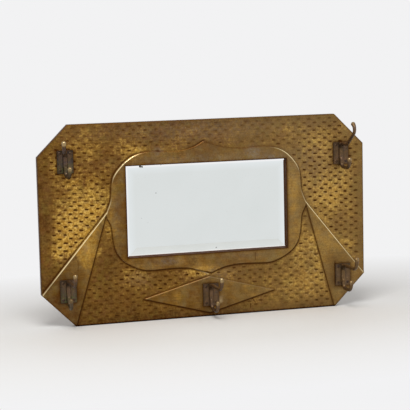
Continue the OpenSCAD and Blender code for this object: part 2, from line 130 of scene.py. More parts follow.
def planed_pine(name, piece, along_x, shift, early, late_wood):
    """Pine, planed and aged: growth rings drawn out along the board, under fine fibres, with
    dust in the seams along its long sides."""
    material, node, spot = start_material(name)
    long, fine = 1 / FIBRE[0], 1 / FIBRE[1]
    # The board's place and tilt in its log, drawn out tenfold lengthwise
    if along_x:
        log = node("Mapping", spot, (shift, 0.043, 0.01), (0, 0, TILT), (0.1, 1, 1))
        fibre = node("Mapping", spot, Scale=(long, fine, fine))
    else:
        heart = -0.36 if shift > 1 else 0.36
        log = node("Mapping", spot, (heart, 0.05, shift), (-TILT, 0, 0), (1, 1, 0.1))
        fibre = node("Mapping", spot, Scale=(fine, fine, long))
    rings = node("TexWave", log, 2 * math.pi / (20 * RING), Distortion=5, Detail=2, Detail_Scale=8,
                 wave_type="RINGS", rings_direction="X" if along_x else "Z", wave_profile="SAW",
                 out="Fac")
    late = node("MapRange", rings, 0.35, 1)
    fibre = node("TexNoise", fibre, Scale=1, Detail=4, Roughness=0.6)
    stain = node("TexNoise", spot, Scale=1 / (140 * MM), Detail=5)
    across = 2 if along_x else 0
    low, high = (corner[across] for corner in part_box(piece))
    edge = (high - low) / 2
    off = node("Math", node("SeparateXYZ", spot, out="XYZ"[across]), (low + high) / 2,
               operation="SUBTRACT")
    off = node("Math", off, operation="ABSOLUTE")
    ragged = node("Math", stain, 5 * MM, off, operation="MULTIPLY_ADD")
    wood = coats(node, early, (late, late_wood),
                 ((fibre, 0.35, 0.75, 0, 0.4), "#66492B"),
                 ((stain, 0.45, 0.75, 0, 0.4), "#5A4128"),
                 ((ragged, edge - 2 * MM, edge + 3 * MM, 0, 0.75), "#33261A"))
    surface(node, node("Math", fibre, late, operation="ADD"), 0.08 * MM, Base_Color=wood,
            Roughness=0.74)
    return material


def dress(piece, material):
    """Gives a CAD node its material."""
    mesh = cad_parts[piece].data
    mesh.materials.clear()
    mesh.materials.append(material)


for piece, wood in BOARDS.items():
    dress(piece, planed_pine("planed_pine_" + piece, piece, *wood))

# ---- Lap dowels ---------------------------------------------------------------------
# Beech dowels glued through the lap joints and planed off flush, so their end grain
# shows: a darker disc with short flecks.


def beech_end_grain():
    """Beech cut across: pale flecks of its rays over soft brown rings."""
    material, node, spot = start_material("beech_end_grain")
    flecks = node("TexVoronoi", spot, Scale=1 / (0.7143 * MM))
    rings = node("TexNoise", spot, Scale=1 / (3.846 * MM), Detail=3)
    wood = coats(node, "#4E361E", ((flecks, 0.1, 0.6), "#8A6438"),
                 ((rings, 0.4, 0.7, 0, 0.5), "#6A4826"))
    surface(node, flecks, 0.15 * MM, Base_Color=wood, Roughness=0.8)
    return material


dress("lap_dowels", beech_end_grain())

# ---- Embossed brass facing ----------------------------------------------------------
# One sheet of 0.8 mm brass over the whole board: its ground punched by hand with rows
# of short marks, the surround, wedges and diamond pressed up, the edges turned over
# the back and into the opening. Old brown patina, worn gold where it was rubbed. Painted
# light lies in its colour too: highlights along the crests and under the marks, patches of
# sheen, and painted shade along the foot of the raised edges, in the corners and as the
# shadow under the bottom edge.

GROUND = -18 * MM  # depth of the punched ground
PANEL = -20.2 * MM  # depth of the raised panels
LIP = -10.2 * MM  # where the turned-in edge meets the glass
SHEET = 0.6 * MM  # sheet as drawn, thin enough to lie on the timber
BED = -17.25 * MM  # the sheet's flat back, just clear of the timber
FLANGE = 12 * MM  # width turned over the back
TURNED = -0.25 * MM  # face of the turned edge, the pins' ends standing just proud of it
EDGE = 2 * MM  # width of the rounded edge
CORNER = math.radians(28)  # a raised edge that turns more than this has a corner
BATCH = 1500  # points measured at a time, which keeps the memory small
HOOKS = ("top_left", "top_right", "bottom_left", "bottom_mid", "bottom_right")


def outlines(piece, depth):
    """Outlines of a node's flat faces at one depth, longest first, as rows of (x, z)."""
    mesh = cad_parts[piece].data
    spots = [tuple(round(c, 5) for c in v.co) for v in mesh.vertices]
    sides = set()
    for face in mesh.polygons:
        corners = [spots[i] for i in face.vertices]
        if all(abs(c[1] - depth) < 2e-5 for c in corners):
            sides.update(zip(corners, corners[1:] + corners[:1]))
    follows = {a: b for a, b in sides if (b, a) not in sides}
    loops = []
    while follows:
        at, loop = next(iter(follows)), []
        while at in follows:
            loop.append((at[0], at[2]))
            at = follows.pop(at)
        ring = np.array(loop)
        before, after = ring - np.roll(ring, 1, 0), np.roll(ring, -1, 0) - ring
        turn = np.abs(before[:, 0] * after[:, 1] - before[:, 1] * after[:, 0])
        straight = 1e-3 * np.linalg.norm(before, axis=1) * np.linalg.norm(after, axis=1)
        loops.append(ring[turn > straight])
    return sorted(loops, key=lambda r: -np.linalg.norm(r - np.roll(r, 1, 0), axis=1).sum())


def inside(points, ring):
    """Which points lie inside a closed outline."""
    hit = np.zeros(len(points), bool)
    for a, b in zip(ring, np.roll(ring, -1, 0)):
        crosses = (a[1] > points[:, 1]) != (b[1] > points[:, 1])
        at = a[0] + (points[:, 1] - a[1]) / (b[1] - a[1] + 1e-12) * (b[0] - a[0])
        hit ^= crosses & (points[:, 0] < at)
    return hit


def nearest(points, starts, ends):
    """Distance of each point to the nearest stretch, and that stretch's number."""
    way = ends - starts
    distance, which = np.empty(len(points)), np.empty(len(points), int)
    for at in range(0, len(points), BATCH):
        some = slice(at, at + BATCH)
        p = points[some, None]
        t = np.clip(((p - starts) * way).sum(2) / (way ** 2).sum(1), 0, 1)
        gap = np.linalg.norm(p - starts - t[..., None] * way, axis=2)
        which[some], distance[some] = gap.argmin(1), gap.min(1)
    return distance, which


def to_edges(points, *rings):
    """Distance of each point to the nearest of some closed outlines."""
    ends = np.concatenate([np.roll(ring, -1, 0) for ring in rings])
    return nearest(points, np.concatenate(rings), ends)[0]


def walk(line, step):
    """A line drawn again with points an even step apart, ends kept."""
    run = np.r_[0, np.cumsum(np.linalg.norm(np.diff(line, axis=0), axis=1))]
    at = np.linspace(0, run[-1], max(2, round(run[-1] / step) + 1))
    return np.stack([np.interp(at, run, line[:, k]) for k in (0, 1)], 1)


def eased(line):
    """A line with its small kinks cut off twice, ends kept."""
    for _ in range(2):
        near, far = 0.75 * line[:-1] + 0.25 * line[1:], 0.25 * line[:-1] + 0.75 * line[1:]
        line = np.concatenate([line[:1], np.stack([near, far], 1).reshape(-1, 2), line[-1:]])
    return line


def clockwise(ring):
    """An outline drawn clockwise, as seen from the front."""
    area = (ring[:, 0] * np.roll(ring[:, 1], -1) - np.roll(ring[:, 0], -1) * ring[:, 1]).sum()
    return ring if area < 0 else ring[::-1]


board = clockwise(outlines("brass_facing", 0.0)[0])
panel, opening, diamond = (clockwise(ring) for ring in outlines("brass_facing", PANEL)[:3])
# Where the hand-drawn contour strays from its pattern: place, shift and reach in mm
for x, z, dx, dz, reach in ((-273, 20, 0, 5.5, 3), (283, 20, 0, 5.5, 3), (-222, 160, 2, -3, 55)):
    share = np.exp(-(((panel / MM - (x, z)) / reach) ** 2).sum(1))
    panel = panel + share[:, None] * np.array([dx, dz]) * MM


def contour_runs():
    """The edges of the raised panels as smooth runs from corner to corner."""
    found = []
    for ring in (panel, diamond):
        free = to_edges((ring + np.roll(ring, -1, 0)) / 2, board) > 0.5 * MM
        ways = ring - np.roll(ring, 1, 0), np.roll(ring, -1, 0) - ring
        before, after = (np.arctan2(way[:, 1], way[:, 0]) for way in ways)
        turn = np.abs((after - before + math.pi) % (2 * math.pi) - math.pi)
        count = len(ring)
        corners = [i for i in range(count) if turn[i] > CORNER or free[i] != free[i - 1]]
        for a, b in zip(corners, corners[1:] + [corners[0] + count]):
            if free[a]:
                run = ring[[k % count for k in range(a, b + 1)]]
                found.append(walk(eased(run), 3.5 * MM))
    return found


runs = contour_runs()
run_starts = np.concatenate([r[:-1] for r in runs])
run_ends = np.concatenate([r[1:] for r in runs])


def contour_distance(points):
    """Distance into the raised panels in mm, less than 0 on the ground, and how far the
    nearest edge faces up and to the left, each from -1 to 1."""
    distance, which = nearest(points, run_starts, run_ends)
    raised = inside(points, panel) | inside(points, diamond)
    way = (run_ends - run_starts)[which]
    way /= np.linalg.norm(way, axis=1)[:, None]
    out = np.stack([way[:, 1], -way[:, 0]], 1)
    toward = points - (run_starts + run_ends)[which] / 2
    out *= np.sign((out * toward).sum(1) * np.where(raised, -1, 1))[:, None]
    return np.where(raised, distance, -distance) / MM, out[:, 1], -out[:, 0]


# Rows of marks: short dashes struck with a blunt punch, each row half a step along
MARK_STEP = 29.5 * MM
ROW_STEP = 10.6 * MM
MARK_HALF = (4.8 * MM, 1.85 * MM)
MARK_DEPTH = 0.6 * MM
MARK_CLEAR = (9.5, 8.5)  # mm from the board's edge and from a raised edge
MARK_RINGS = (  # points round a mark, how far outside its edge, share of its depth and grime
    (12, 1.7 * MM, 0, 0), (12, 0.6 * MM, -0.04, 0.45), (12, -0.25 * MM, 0.5, 1),
    (6, -1.1 * MM, 1, 1),
)

# The tables of places below give centre and half size in mm, and strength.
# Where the patina wore off, above 0, or stayed, together with painted sheen: part of these
# bright and dark patches stands for what the metal reflected
RUBBED_AND_SHEEN = (
    (-330, 5, 75, 75, 0.57), (-375, -60, 60, 45, 0.35), (-318, -62, 22, 52, 0.95),
    (-335, 195, 40, 25, 0.2), (-188, 190, 34, 16, 0.32), (75, 206, 30, 16, -0.2),
    (350, 65, 70, 70, 0.45), (300, -95, 60, 60, 0.35), (285, -190, 60, 45, 0.3),
    (-14, -138, 36, 14, 1), (-150, -120, 45, 14, 0.25), (330, 190, 70, 50, 0.24),
    (-215, 110, 14, 60, 0.15), (-20, 228, 190, 34, -0.12), (-50, 235, 260, 40, 0.03),
    (-436, 0, 22, 260, -0.45), (-290, -90, 40, 60, -0.4), (0, -262, 420, 16, -0.6),
    (-390, -205, 60, 45, -0.45), (358, -170, 12, 40, -0.4), (60, 258, 400, 12, -0.3),
    (444, 0, 12, 200, -0.3), (-240, -215, 90, 40, -0.2), (-370, 110, 60, 30, 0.2),
    (385, -95, 55, 30, 0.2), (-237, 20, 14, 90, -0.2), (247, 20, 16, 100, 0.45),
    (340, -95, 25, 60, 0.3), (70, -205, 90, 30, 0.1), (-400, 160, 30, 25, 0.3),
    (240, -210, 70, 30, 0.15), (-60, -113, 70, 8, 0.15), (-288, -30, 16, 32, -0.4),
    (294, -30, 14, 32, -0.25), (-350, -15, 45, 45, 0.25), (347, -105, 18, 34, -0.16),
    (-325, -54, 9, 18, 0.5), (-341, -76, 8, 14, 0.45), (-374, -98, 18, 18, -0.3),
    (-309, -90, 12, 34, -0.35),
)
# Painted highlights: small places made brightest
GLEAMS = ((34, -222, 3.5, 9, 0.5), (-330, -60, 8, 12, 0.08))
# Ends of the raised edges left without the painted crest highlight
DULL_CRESTS = ((-432, -152, 30, 30, 0.6), (405, -124, 34, 34, 0.3), (434, -158, 30, 30, 0.5))
# Scuffed to a bluish grey, together with painted sheen: grey haze that the metal reflected
SCUFFED_AND_SHEEN = (
    (0, 158, 230, 18, 0.18), (-128, 186, 13, 9, 0.45), (133, 172, 18, 14, 0.6),
    (180, 154, 26, 8, 0.45), (-243, 20, 10, 90, 0.1), (243, 20, 12, 90, 0.05),
    (-110, -108, 44, 10, 0.3), (100, -105, 60, 8, 0.15), (0, 245, 380, 26, 0.12),
    (-10, 225, 200, 34, 0.14), (-190, -150, 30, 20, 0.15), (300, 140, 80, 80, 0.15),
    (20, -150, 60, 20, 0.2),
)
# Where the punch was struck lightly, with the share of the depth lost
LIGHTLY_STRUCK = (
    (40, 235, 230, 32, 0.35), (-288, -45, 26, 60, 0.45), (-432, 0, 22, 250, 0.05),
    (-190, -180, 130, 60, -0.05), (292, -60, 18, 50, 0.3), (190, -215, 110, 45, 0.35),
    (280, -190, 60, 60, 0.45), (290, -110, 30, 40, 0.25), (385, -95, 60, 35, 0.2),
    (390, 140, 70, 30, 0.1), (-330, 235, 90, 25, 0.2), (270, 225, 90, 36, 0.2),
    (-245, 215, 60, 35, 0.2), (-375, 112, 70, 36, 0.25),
)
# Dents and creases: start, end, half width and depth in mm, where less than 0 stands proud
SCARS = (
    (-130, 187, -126, 184, 4, 0.8), (134, -101, 134, -120, 1.3, 0.45),
    (119, -240, 119, -251, 1.8, 0.7), (125, -226, 132, -237, 1.8, 0.7),
    (-358, -80, -351, -98, 1.8, 0.4), (-351, -98, -353, -118, 1.8, 0.4),
    (364, -140, 365, -200, 1.4, 0.4), (-35, -134, 0, -149, 2.4, -0.8),
    (-182, 200, -176, 190, 5, -0.5), (-55, -147, -18, -160, 4, 0.5),
)


def patches(points, table):
    """The sum of soft patches, each given by its centre, half size in mm and strength."""
    total = np.zeros(len(points))
    for x, z, wide, high, strength in table:
        away = ((points[:, 0] / MM - x) / wide) ** 2 + ((points[:, 1] / MM - z) / high) ** 2
        total += strength * np.exp(-away)
    return total


def swell(points, lengths, seed):
    """Soft unevenness from -1 to 1: a sum of waves of the given lengths."""
    draw = np.random.default_rng(seed)
    total = np.zeros(len(points))
    for length in lengths:
        for _ in range(5):
            angle, phase = draw.uniform(0, 2 * math.pi, 2)
            along = points @ [math.cos(angle), math.sin(angle)]
            total += np.sin(2 * math.pi / length * along + phase)
    return total / (2.2 * len(lengths))


def bell(distance, reach):
    """1 at distance 0, falling softly to almost nothing at twice the reach."""
    return np.exp(-(distance / reach) ** 2)


def scars(points):
    """Depth of the dents and creases, and how steep their sides are, where the dirt stayed."""
    depth, steep = np.zeros(len(points)), np.zeros(len(points))
    for x0, z0, x1, z1, wide, deep in SCARS:
        ends = np.array([[x0, z0], [x1, z1]]) * MM
        share = deep * bell(nearest(points, ends[:1], ends[1:])[0], wide * MM)
        depth = np.where(np.abs(share) * MM > np.abs(depth), share * MM, depth)
        steep = np.maximum(steep, share / wide)
    return depth, steep


def place_marks():
    """Each mark's centre, turn, half length, half height, depth, the painted highlight on its
    lower lip and strength."""
    draw = random.Random(7)
    made = []
    for row in range(-25, 26):
        for step in range(-16, 17):
            x = (step + 0.5 * (row % 2)) * MARK_STEP + draw.gauss(0, 1.0) * MM
            z = row * ROW_STEP + draw.gauss(0, 0.5) * MM
            turn = math.radians(draw.gauss(-4, 3.5))
            long = draw.uniform(0.78, 1.12) * MARK_HALF[0]
            high = draw.uniform(0.85, 1.15) * MARK_HALF[1]
            deep = draw.uniform(0.65, 1.1) * MARK_DEPTH
            made.append((x, z, turn, long, high, deep, draw.random()))
    made = np.array(made)
    made = made[inside(made[:, :2], board)]
    made = made[to_edges(made[:, :2], board) > MARK_CLEAR[0] * MM]
    made = made[contour_distance(made[:, :2])[0] < -MARK_CLEAR[1]]
    spots = made[:, :2]
    gold = patches(spots, RUBBED_AND_SHEEN)
    strength = 0.62 + 0.95 * gold + 0.18 * swell(spots, (0.09, 0.16), 3)
    strength = np.clip(strength - patches(spots, LIGHTLY_STRUCK), 0.1, 1)
    made[:, 6] *= np.clip(2.4 * gold - 0.1, 0, 1)
    return np.column_stack([made, strength])[strength > 0.18]


def rounded_dash(long, high, count):
    """Points round a dash with blunt ends."""
    angle = (np.arange(count) + 0.5) * 2 * math.pi / count
    sides = ((long, np.cos(angle)), (high, np.sin(angle)))
    return np.stack([half * np.sign(v) * np.abs(v) ** 0.7 for half, v in sides], 1)


class Points:
    """Points of the sheet, the lines that join them, and each one's dent, its grime and painted
    shade, and the painted highlight on a mark's lip.
    """

    def __init__(self):
        self.spots, self.edges, self.known = [], [], []

    def line(self, spots, closed=False, keep=None, known=None):
        """Adds points and joins each to the next, but for those that keep leaves out."""
        index = []
        for k, spot in enumerate(spots):
            if keep is None or keep[k]:
                index.append(len(self.spots))
                self.spots.append(tuple(spot))
                self.known.append((0, 0, 0) if known is None else known[k])
            else:
                index.append(None)
        pairs = zip(index, index[1:] + index[:1]) if closed else zip(index, index[1:])
        self.edges += [(a, b) for a, b in pairs if a is not None and b is not None]


def closed_walk(ring, step):
    """Points along a closed outline, corners kept, and where each moves as it is drawn in by 1."""
    spots, moves = [], []
    for i in range(len(ring)):
        a, b = ring[i], ring[(i + 1) % len(ring)]
        last, after = a - ring[i - 1], b - a
        side = [np.array([v[1], -v[0]]) / np.linalg.norm(v) for v in (last, after)]
        count = round(np.linalg.norm(after) / step)
        for k in range(count):
            spots.append(a + after * k / count)
            moves.append(side[1] if k else (side[0] + side[1]) / (1 + side[0] @ side[1]))
    return np.array(spots), np.array(moves)


CONTOUR_ROWS = (-5, -3.7, -2.6, -1.6, -0.7, 0, 0.7, 1.4, 2.2, 3.4)  # mm beside a raised edge
GRID = 4.8 * MM  # spacing of the points between
edge_spots, edge_moves = closed_walk(board, 6 * MM)
rim_spots, rim_moves = closed_walk(opening, 5 * MM)
inner_board = edge_spots + edge_moves * EDGE
outer_rim = rim_spots - rim_moves * EDGE
marks = place_marks()


def tree_of(spots):
    """A search tree of flat points."""
    tree = kdtree.KDTree(len(spots))
    for i, spot in enumerate(spots):
        tree.insert((*spot, 0), i)
    tree.balance()
    return tree


def sheet_points():
    """All points of the sheet's front, with the lines that its folds follow."""
    made = Points()
    made.line(inner_board, True)
    made.line(outer_rim, True)
    for offset in CONTOUR_ROWS:
        for run in runs:
            way = np.gradient(run, axis=0)
            side = np.stack([-way[:, 1], way[:, 0]], 1) / np.linalg.norm(way, axis=1)[:, None]
            spots = run + side * offset * MM
            gap = nearest(spots, run_starts, run_ends)[0]
            keep = (gap > (abs(offset) - 0.12) * MM) & inside(spots, inner_board)
            keep &= to_edges(spots, inner_board, outer_rim) > 1.2 * MM
            made.line(spots, False, keep)
    for x, z, turn, long, high, deep, lip_highlight, strength in marks:
        c, s = math.cos(turn), math.sin(turn)
        for count, outside, depth, grime in MARK_RINGS:
            shape = rounded_dash(long + outside, max(high + outside, 0.35 * MM), count)
            across, up = shape[:, 0], shape[:, 1]
            spots = np.stack([x + c * across - s * up, z + s * across + c * up], 1)
            # A painted highlight on the lower, upward-facing side of each mark
            shine = lip_highlight * np.clip(-up / high, 0, 1) * (outside > 0) * (1.2 - 0.4 * outside / MM)
            dent = deep * depth * (0.35 + 0.65 * strength)
            made.line(spots, True, None, [
                (dent, 0.92 * strength * grime * (1 - 0.6 * bright), bright) for bright in shine])
    tree = tree_of(made.spots)
    for x0, z0, x1, z1, wide, _ in SCARS:
        start, way = np.array([x0, z0]) * MM, np.array([x1 - x0, z1 - z0]) * MM
        length = np.hypot(*way)
        side = np.array([-way[1], way[0]]) / length * wide * MM
        for along in np.arange(0, length, 1.5 * MM):
            for aside in (-1.6, -0.8, 0, 0.8, 1.6):
                spot = start + way * along / length + side * aside
                if tree.find((*spot, 0))[2] > 0.6 * MM:
                    made.line([spot])
    tree = tree_of(made.spots)
    draw = random.Random(11)
    low = board.min(0)
    columns, rows = ((board.max(0) - low) / GRID).astype(int)
    for i in range(columns):
        column = np.array([(low[0] + (i + 0.5 + draw.uniform(-0.2, 0.2)) * GRID,
                            low[1] + (j + 0.5 + 0.5 * (i % 2)) * GRID) for j in range(rows)])
        for spot in column[inside(column, inner_board) & ~inside(column, outer_rim)]:
            if tree.find((*spot, 0))[2] > 2.4 * MM:
                made.line([spot])
    return made


def contour_shade_and_highlight(flat, d, faces_up, faces_left):
    """Painted shade along the foot of the raised edges, set by which way each edge faces, and
    on the level crest near the top middle; a painted highlight along their crest where they
    face up and to a side; and how level the crest lies."""
    up, down = np.clip(faces_up, 0, 1), np.clip(-faces_up, 0, 1)
    leftward = np.clip(2 * up * faces_left, 0, 1) ** 1.5
    rightward = np.clip(-2 * up * faces_left, 0, 1) ** 1.5
    level = up * (1 - leftward) * (1 - rightward)
    # How strong, where and how wide the painted shade lies follows which way the edge faces
    kept = np.clip(0.95 - 0.25 * up + 0.35 * leftward - 0.75 * rightward, 0.12, 1)
    middle = -1.9 + 1.5 * level - 1.2 * leftward
    wide = 1.6 + 0.8 * down + 0.4 * leftward + 0.6 * level
    crest = np.maximum(leftward, rightward) ** 1.5 * np.clip(1.35 * bell(d - 1.2, 0.95), 0, 1)
    crest *= np.clip(1 - patches(flat, DULL_CRESTS), 0, 1)
    aside, above = np.abs(flat[:, 0]) / MM, flat[:, 1] > 0
    crest *= np.where(above, np.clip((aside - 130) / 50, 0, 1), np.where(aside > 190, 1, 0.35))
    # Painted shade on the crest of the level top edge near the middle
    crest_shade = 0.6 * up * bell(d - 1.2, 1.6) * np.clip(2 - aside / 45, 0, 1) * above
    return np.maximum(kept * bell(d - middle, wide), crest_shade), crest, level


def shade_and_dirt_in_corners(flat):
    """Dirt and painted shade round the hook plates, along the glass and along the board's
    edges, most below, where it passes 1 as a painted shadow under the bottom edge.
    """
    low = board[:, 1].min()
    dirt_and_shade = 1.3 * bell(np.maximum(flat[:, 1] - low - 1.5 * MM, 0), 2.2 * MM)
    dirt_and_shade = np.maximum(dirt_and_shade, 0.6 * bell(to_edges(flat, board), 2.4 * MM))
    wide = np.where(flat[:, 0] < opening[:, 0].min() + MM, 5.5 * MM, 3.2 * MM)
    dirt_and_shade = np.maximum(dirt_and_shade, 0.9 * bell(to_edges(flat, opening), wide))
    for name in HOOKS:
        near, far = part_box("hook_plate_" + name)
        x = np.maximum(np.maximum(near.x - flat[:, 0], flat[:, 0] - far.x), 0)
        z = np.maximum(np.maximum(near.z - flat[:, 1], flat[:, 1] - far.z), 0)
        gap = np.hypot(x, z) / MM
        dirt_and_shade = np.maximum(dirt_and_shade, 0.6 * bell(gap, 3) + 0.25 * bell(gap, 9))
    return dirt_and_shade


def relief(flat, dent, d, level, edge_soft):
    """How far each point of the front stands proud of the ground."""
    rise = np.clip((d + 1.4) / 2.8, 0, 1)
    height = (GROUND - PANEL) * rise * rise * (3 - 2 * rise)
    bead = 0.45 * (1 - 0.8 * level) * bell(d - 1.8, 0.9) - 0.3 * bell(d + 2, 0.9)
    uneven = 0.28 * swell(flat, (0.07, 0.13), 1) + 0.06 * swell(flat, (0.016, 0.026), 2)
    return height + MM * edge_soft * (bead + uneven) - dent - edge_soft * scars(flat)[0]


def mark_points(mesh, name, values):
    """Keeps a number for each point of a mesh, for its material."""
    layer = mesh.attributes.new(name, "FLOAT", "POINT")
    layer.data.foreach_set("value", np.asarray(values, np.float32))


def fold(radius, toward_back):
    """A quarter round, from the front face to the side or from the side to the back."""
    for k in range(1, 5):
        a = k * math.pi / 8
        if toward_back:
            yield radius * (1 - math.cos(a)), TURNED - radius * (1 - math.sin(a)), False, 0.5
        else:
            # Darker as the front turns towards the side: painted shade
            yield radius * (1 - math.sin(a)), radius * (1 - math.cos(a)), True, 0.15 + 0.15 * k


# The sheet's way round the board's edge and into the opening, in rows of: how far it is drawn
# in, depth, whether that depth counts from the front, and dirt with painted shade, which
# runs dark round the folds and into the opening
ROUND_THE_BOARD = (
    (1.6 * MM, 0, True, 0.1), *fold(1.4 * MM, False), (0, -8 * MM, False, 0.7),
    (0, -1 * MM, False, 0.7), *fold(1 * MM, True), (FLANGE / 2, TURNED, False, 0.4),
    (FLANGE, TURNED, False, 0.5), (FLANGE, -SHEET, False, 0.5), (SHEET, -SHEET, False, 0.5),
    (SHEET, BED, False, 0.5),
)
INTO_THE_OPENING = (
    (1.6 * MM, 0, True, 0.8), (1.3 * MM, 0, True, 1), *fold(1.2 * MM, False),
    (0, LIP, False, 0.95), (SHEET, LIP, False, 0.9), (SHEET, BED, False, 0.5),
)


def embossed_sheet():
    """The sheet as one closed skin: embossed front, folded edges and a flat back on the timber."""
    made = sheet_points()
    flat, _, faces, origin, _, _ = geometry.delaunay_2d_cdt(
        [Vector(s) for s in made.spots], made.edges, [], 0, 1e-6)
    flat, faces = np.array(flat), np.array(faces)
    dent, grime, lip_highlight = np.array([made.known[o[0]] if o else (0, 0, 0) for o in origin], float).T
    middles = flat[faces].mean(1)
    faces = faces[inside(middles, inner_board) & ~inside(middles, outer_rim)].tolist()

    d, faces_up, faces_left = contour_distance(flat)
    gold = patches(flat, RUBBED_AND_SHEEN) + 0.1 * swell(flat, (0.05, 0.11), 5)
    by_mark = tree_of(marks[:, :2])
    nearby = np.array([marks[by_mark.find((*spot, 0))[1], :2] for spot in flat]) - flat
    away = np.hypot(nearby[:, 0] / (8 * MM), nearby[:, 1] / (4 * MM))
    on_ground = np.clip(-d - 3, 0, 1) * (away < 3)
    dent = dent + on_ground * 0.2 * MM * bell(away, 1)
    edge_soft = np.clip(to_edges(flat, inner_board, outer_rim) / (12 * MM), 0, 1)
    line, bright, level = contour_shade_and_highlight(flat, d, faces_up, faces_left)
    height = relief(flat, dent, d, level, edge_soft)
    scar, steep = scars(flat)
    # line holds the painted shade along the foot of the raised edges and on the level crest
    grime = np.maximum(grime, line) + 2 * steep + 0.2 * on_ground * bell(away, 1.1)
    # Painted shade in the corners, passing 1 as the painted shadow under the bottom edge
    corners = shade_and_dirt_in_corners(flat)
    grime = np.clip(grime + corners, 0, np.maximum(corners, 1))
    # Painted highlights: crests, the marks' lips, proud creases and gleams
    proud = np.clip(-scar / MM - 0.45, 0, 1)
    polish = np.clip(bright + 0.2 * lip_highlight + 1.5 * proud + patches(flat, GLEAMS), 0, 1)
    # The ground between marks and the marks' lips turned more golden: painted sheen and highlight
    gold += 0.8 * on_ground * np.clip(gold, 0, 1) * np.clip(1.3 * away - 1, 0, 1) + 1.1 * lip_highlight

    spots = [np.stack([flat[:, 0], GROUND - height, flat[:, 1]], 1)]
    layers = {"grime": [grime], "polish": [polish], "gold": [gold],
              "smooth": [np.clip((d + 1.5) / 3, 0, 1)], "scuff": [patches(flat, SCUFFED_AND_SHEEN)]}
    tree = tree_of(flat)

    def turned_edge(outline, moves, first, rows):
        """Leads the front's edge through rows of points. Returns the last row's numbers."""
        before = [tree.find((*spot, 0))[1] for spot in first]
        front = spots[0][before, 1]
        count = len(outline)
        for reach, depth, from_front, dirt_and_shade in rows:
            place = outline + moves * reach
            start = sum(len(s) for s in spots)
            y = front + depth if from_front else np.full(count, depth)
            spots.append(np.stack([place[:, 0], y, place[:, 1]], 1))
            dirt_and_shade = np.maximum(dirt_and_shade, shade_and_dirt_in_corners(place))
            values = {"grime": dirt_and_shade, "polish": 0, "gold": -0.3, "smooth": 1, "scuff": 0}
            for name, value in values.items():
                layers[name].append(np.full(count, value))
            now = list(range(start, start + count))
            for i in range(count):
                j = (i + 1) % count
                faces.append([before[i], before[j], now[j], now[i]])
            before = now
        return before

    outer = turned_edge(edge_spots, edge_moves, inner_board, ROUND_THE_BOARD)
    inner = turned_edge(rim_spots, -rim_moves, outer_rim, INTO_THE_OPENING)
    spots, ends = np.concatenate(spots), outer + inner
    number = {v: k for k, v in enumerate(ends)}
    sides = [(number[a], number[b]) for loop in (outer, inner)
             for a, b in zip(loop, loop[1:] + loop[:1])]
    back = spots[ends][:, [0, 2]]
    _, _, bed, origin, _, _ = geometry.delaunay_2d_cdt(
        [Vector(s) for s in back], sides, [], 0, 1e-6)
    bed = [[origin[i][0] for i in f] for f in bed]
    middles = np.array([back[f].mean(0) for f in bed])
    kept = inside(middles, back[:len(outer)]) & ~inside(middles, back[len(outer):])
    faces += [[ends[i] for i in f] for f, keep in zip(bed, kept) if keep]

    mesh = bpy.data.meshes.new("embossed_brass_sheet")
    mesh.from_pydata(spots, [], faces)
    for name, parts in layers.items():
        mark_points(mesh, name, np.concatenate(parts))
    tidy = bmesh.new()
    tidy.from_mesh(mesh)
    bmesh.ops.recalc_face_normals(tidy, faces=tidy.faces)
    front = min(tidy.faces, key=lambda f: f.calc_center_median().y)
    if front.normal.y > 0:
        bmesh.ops.reverse_faces(tidy, faces=tidy.faces)
    tidy.to_mesh(mesh)
    tidy.free()
    return mesh


def show(name, mesh, *materials):
    """An object for a mesh, with its materials."""
    for material in materials:
        mesh.materials.append(material)
    piece = bpy.data.objects.new(name, mesh)
    bpy.context.scene.collection.objects.link(piece)
    return piece


def settle(piece):
    """Turns a piece and its modifiers into one plain, smoothly shaded mesh."""
    now = bpy.context.evaluated_depsgraph_get()
    mesh = bpy.data.meshes.new_from_object(piece.evaluated_get(now), depsgraph=now)
    piece.modifiers.clear()
    piece.data = mesh
    mesh.shade_smooth()
    mesh.set_sharp_from_angle(angle=math.radians(50))
    return piece


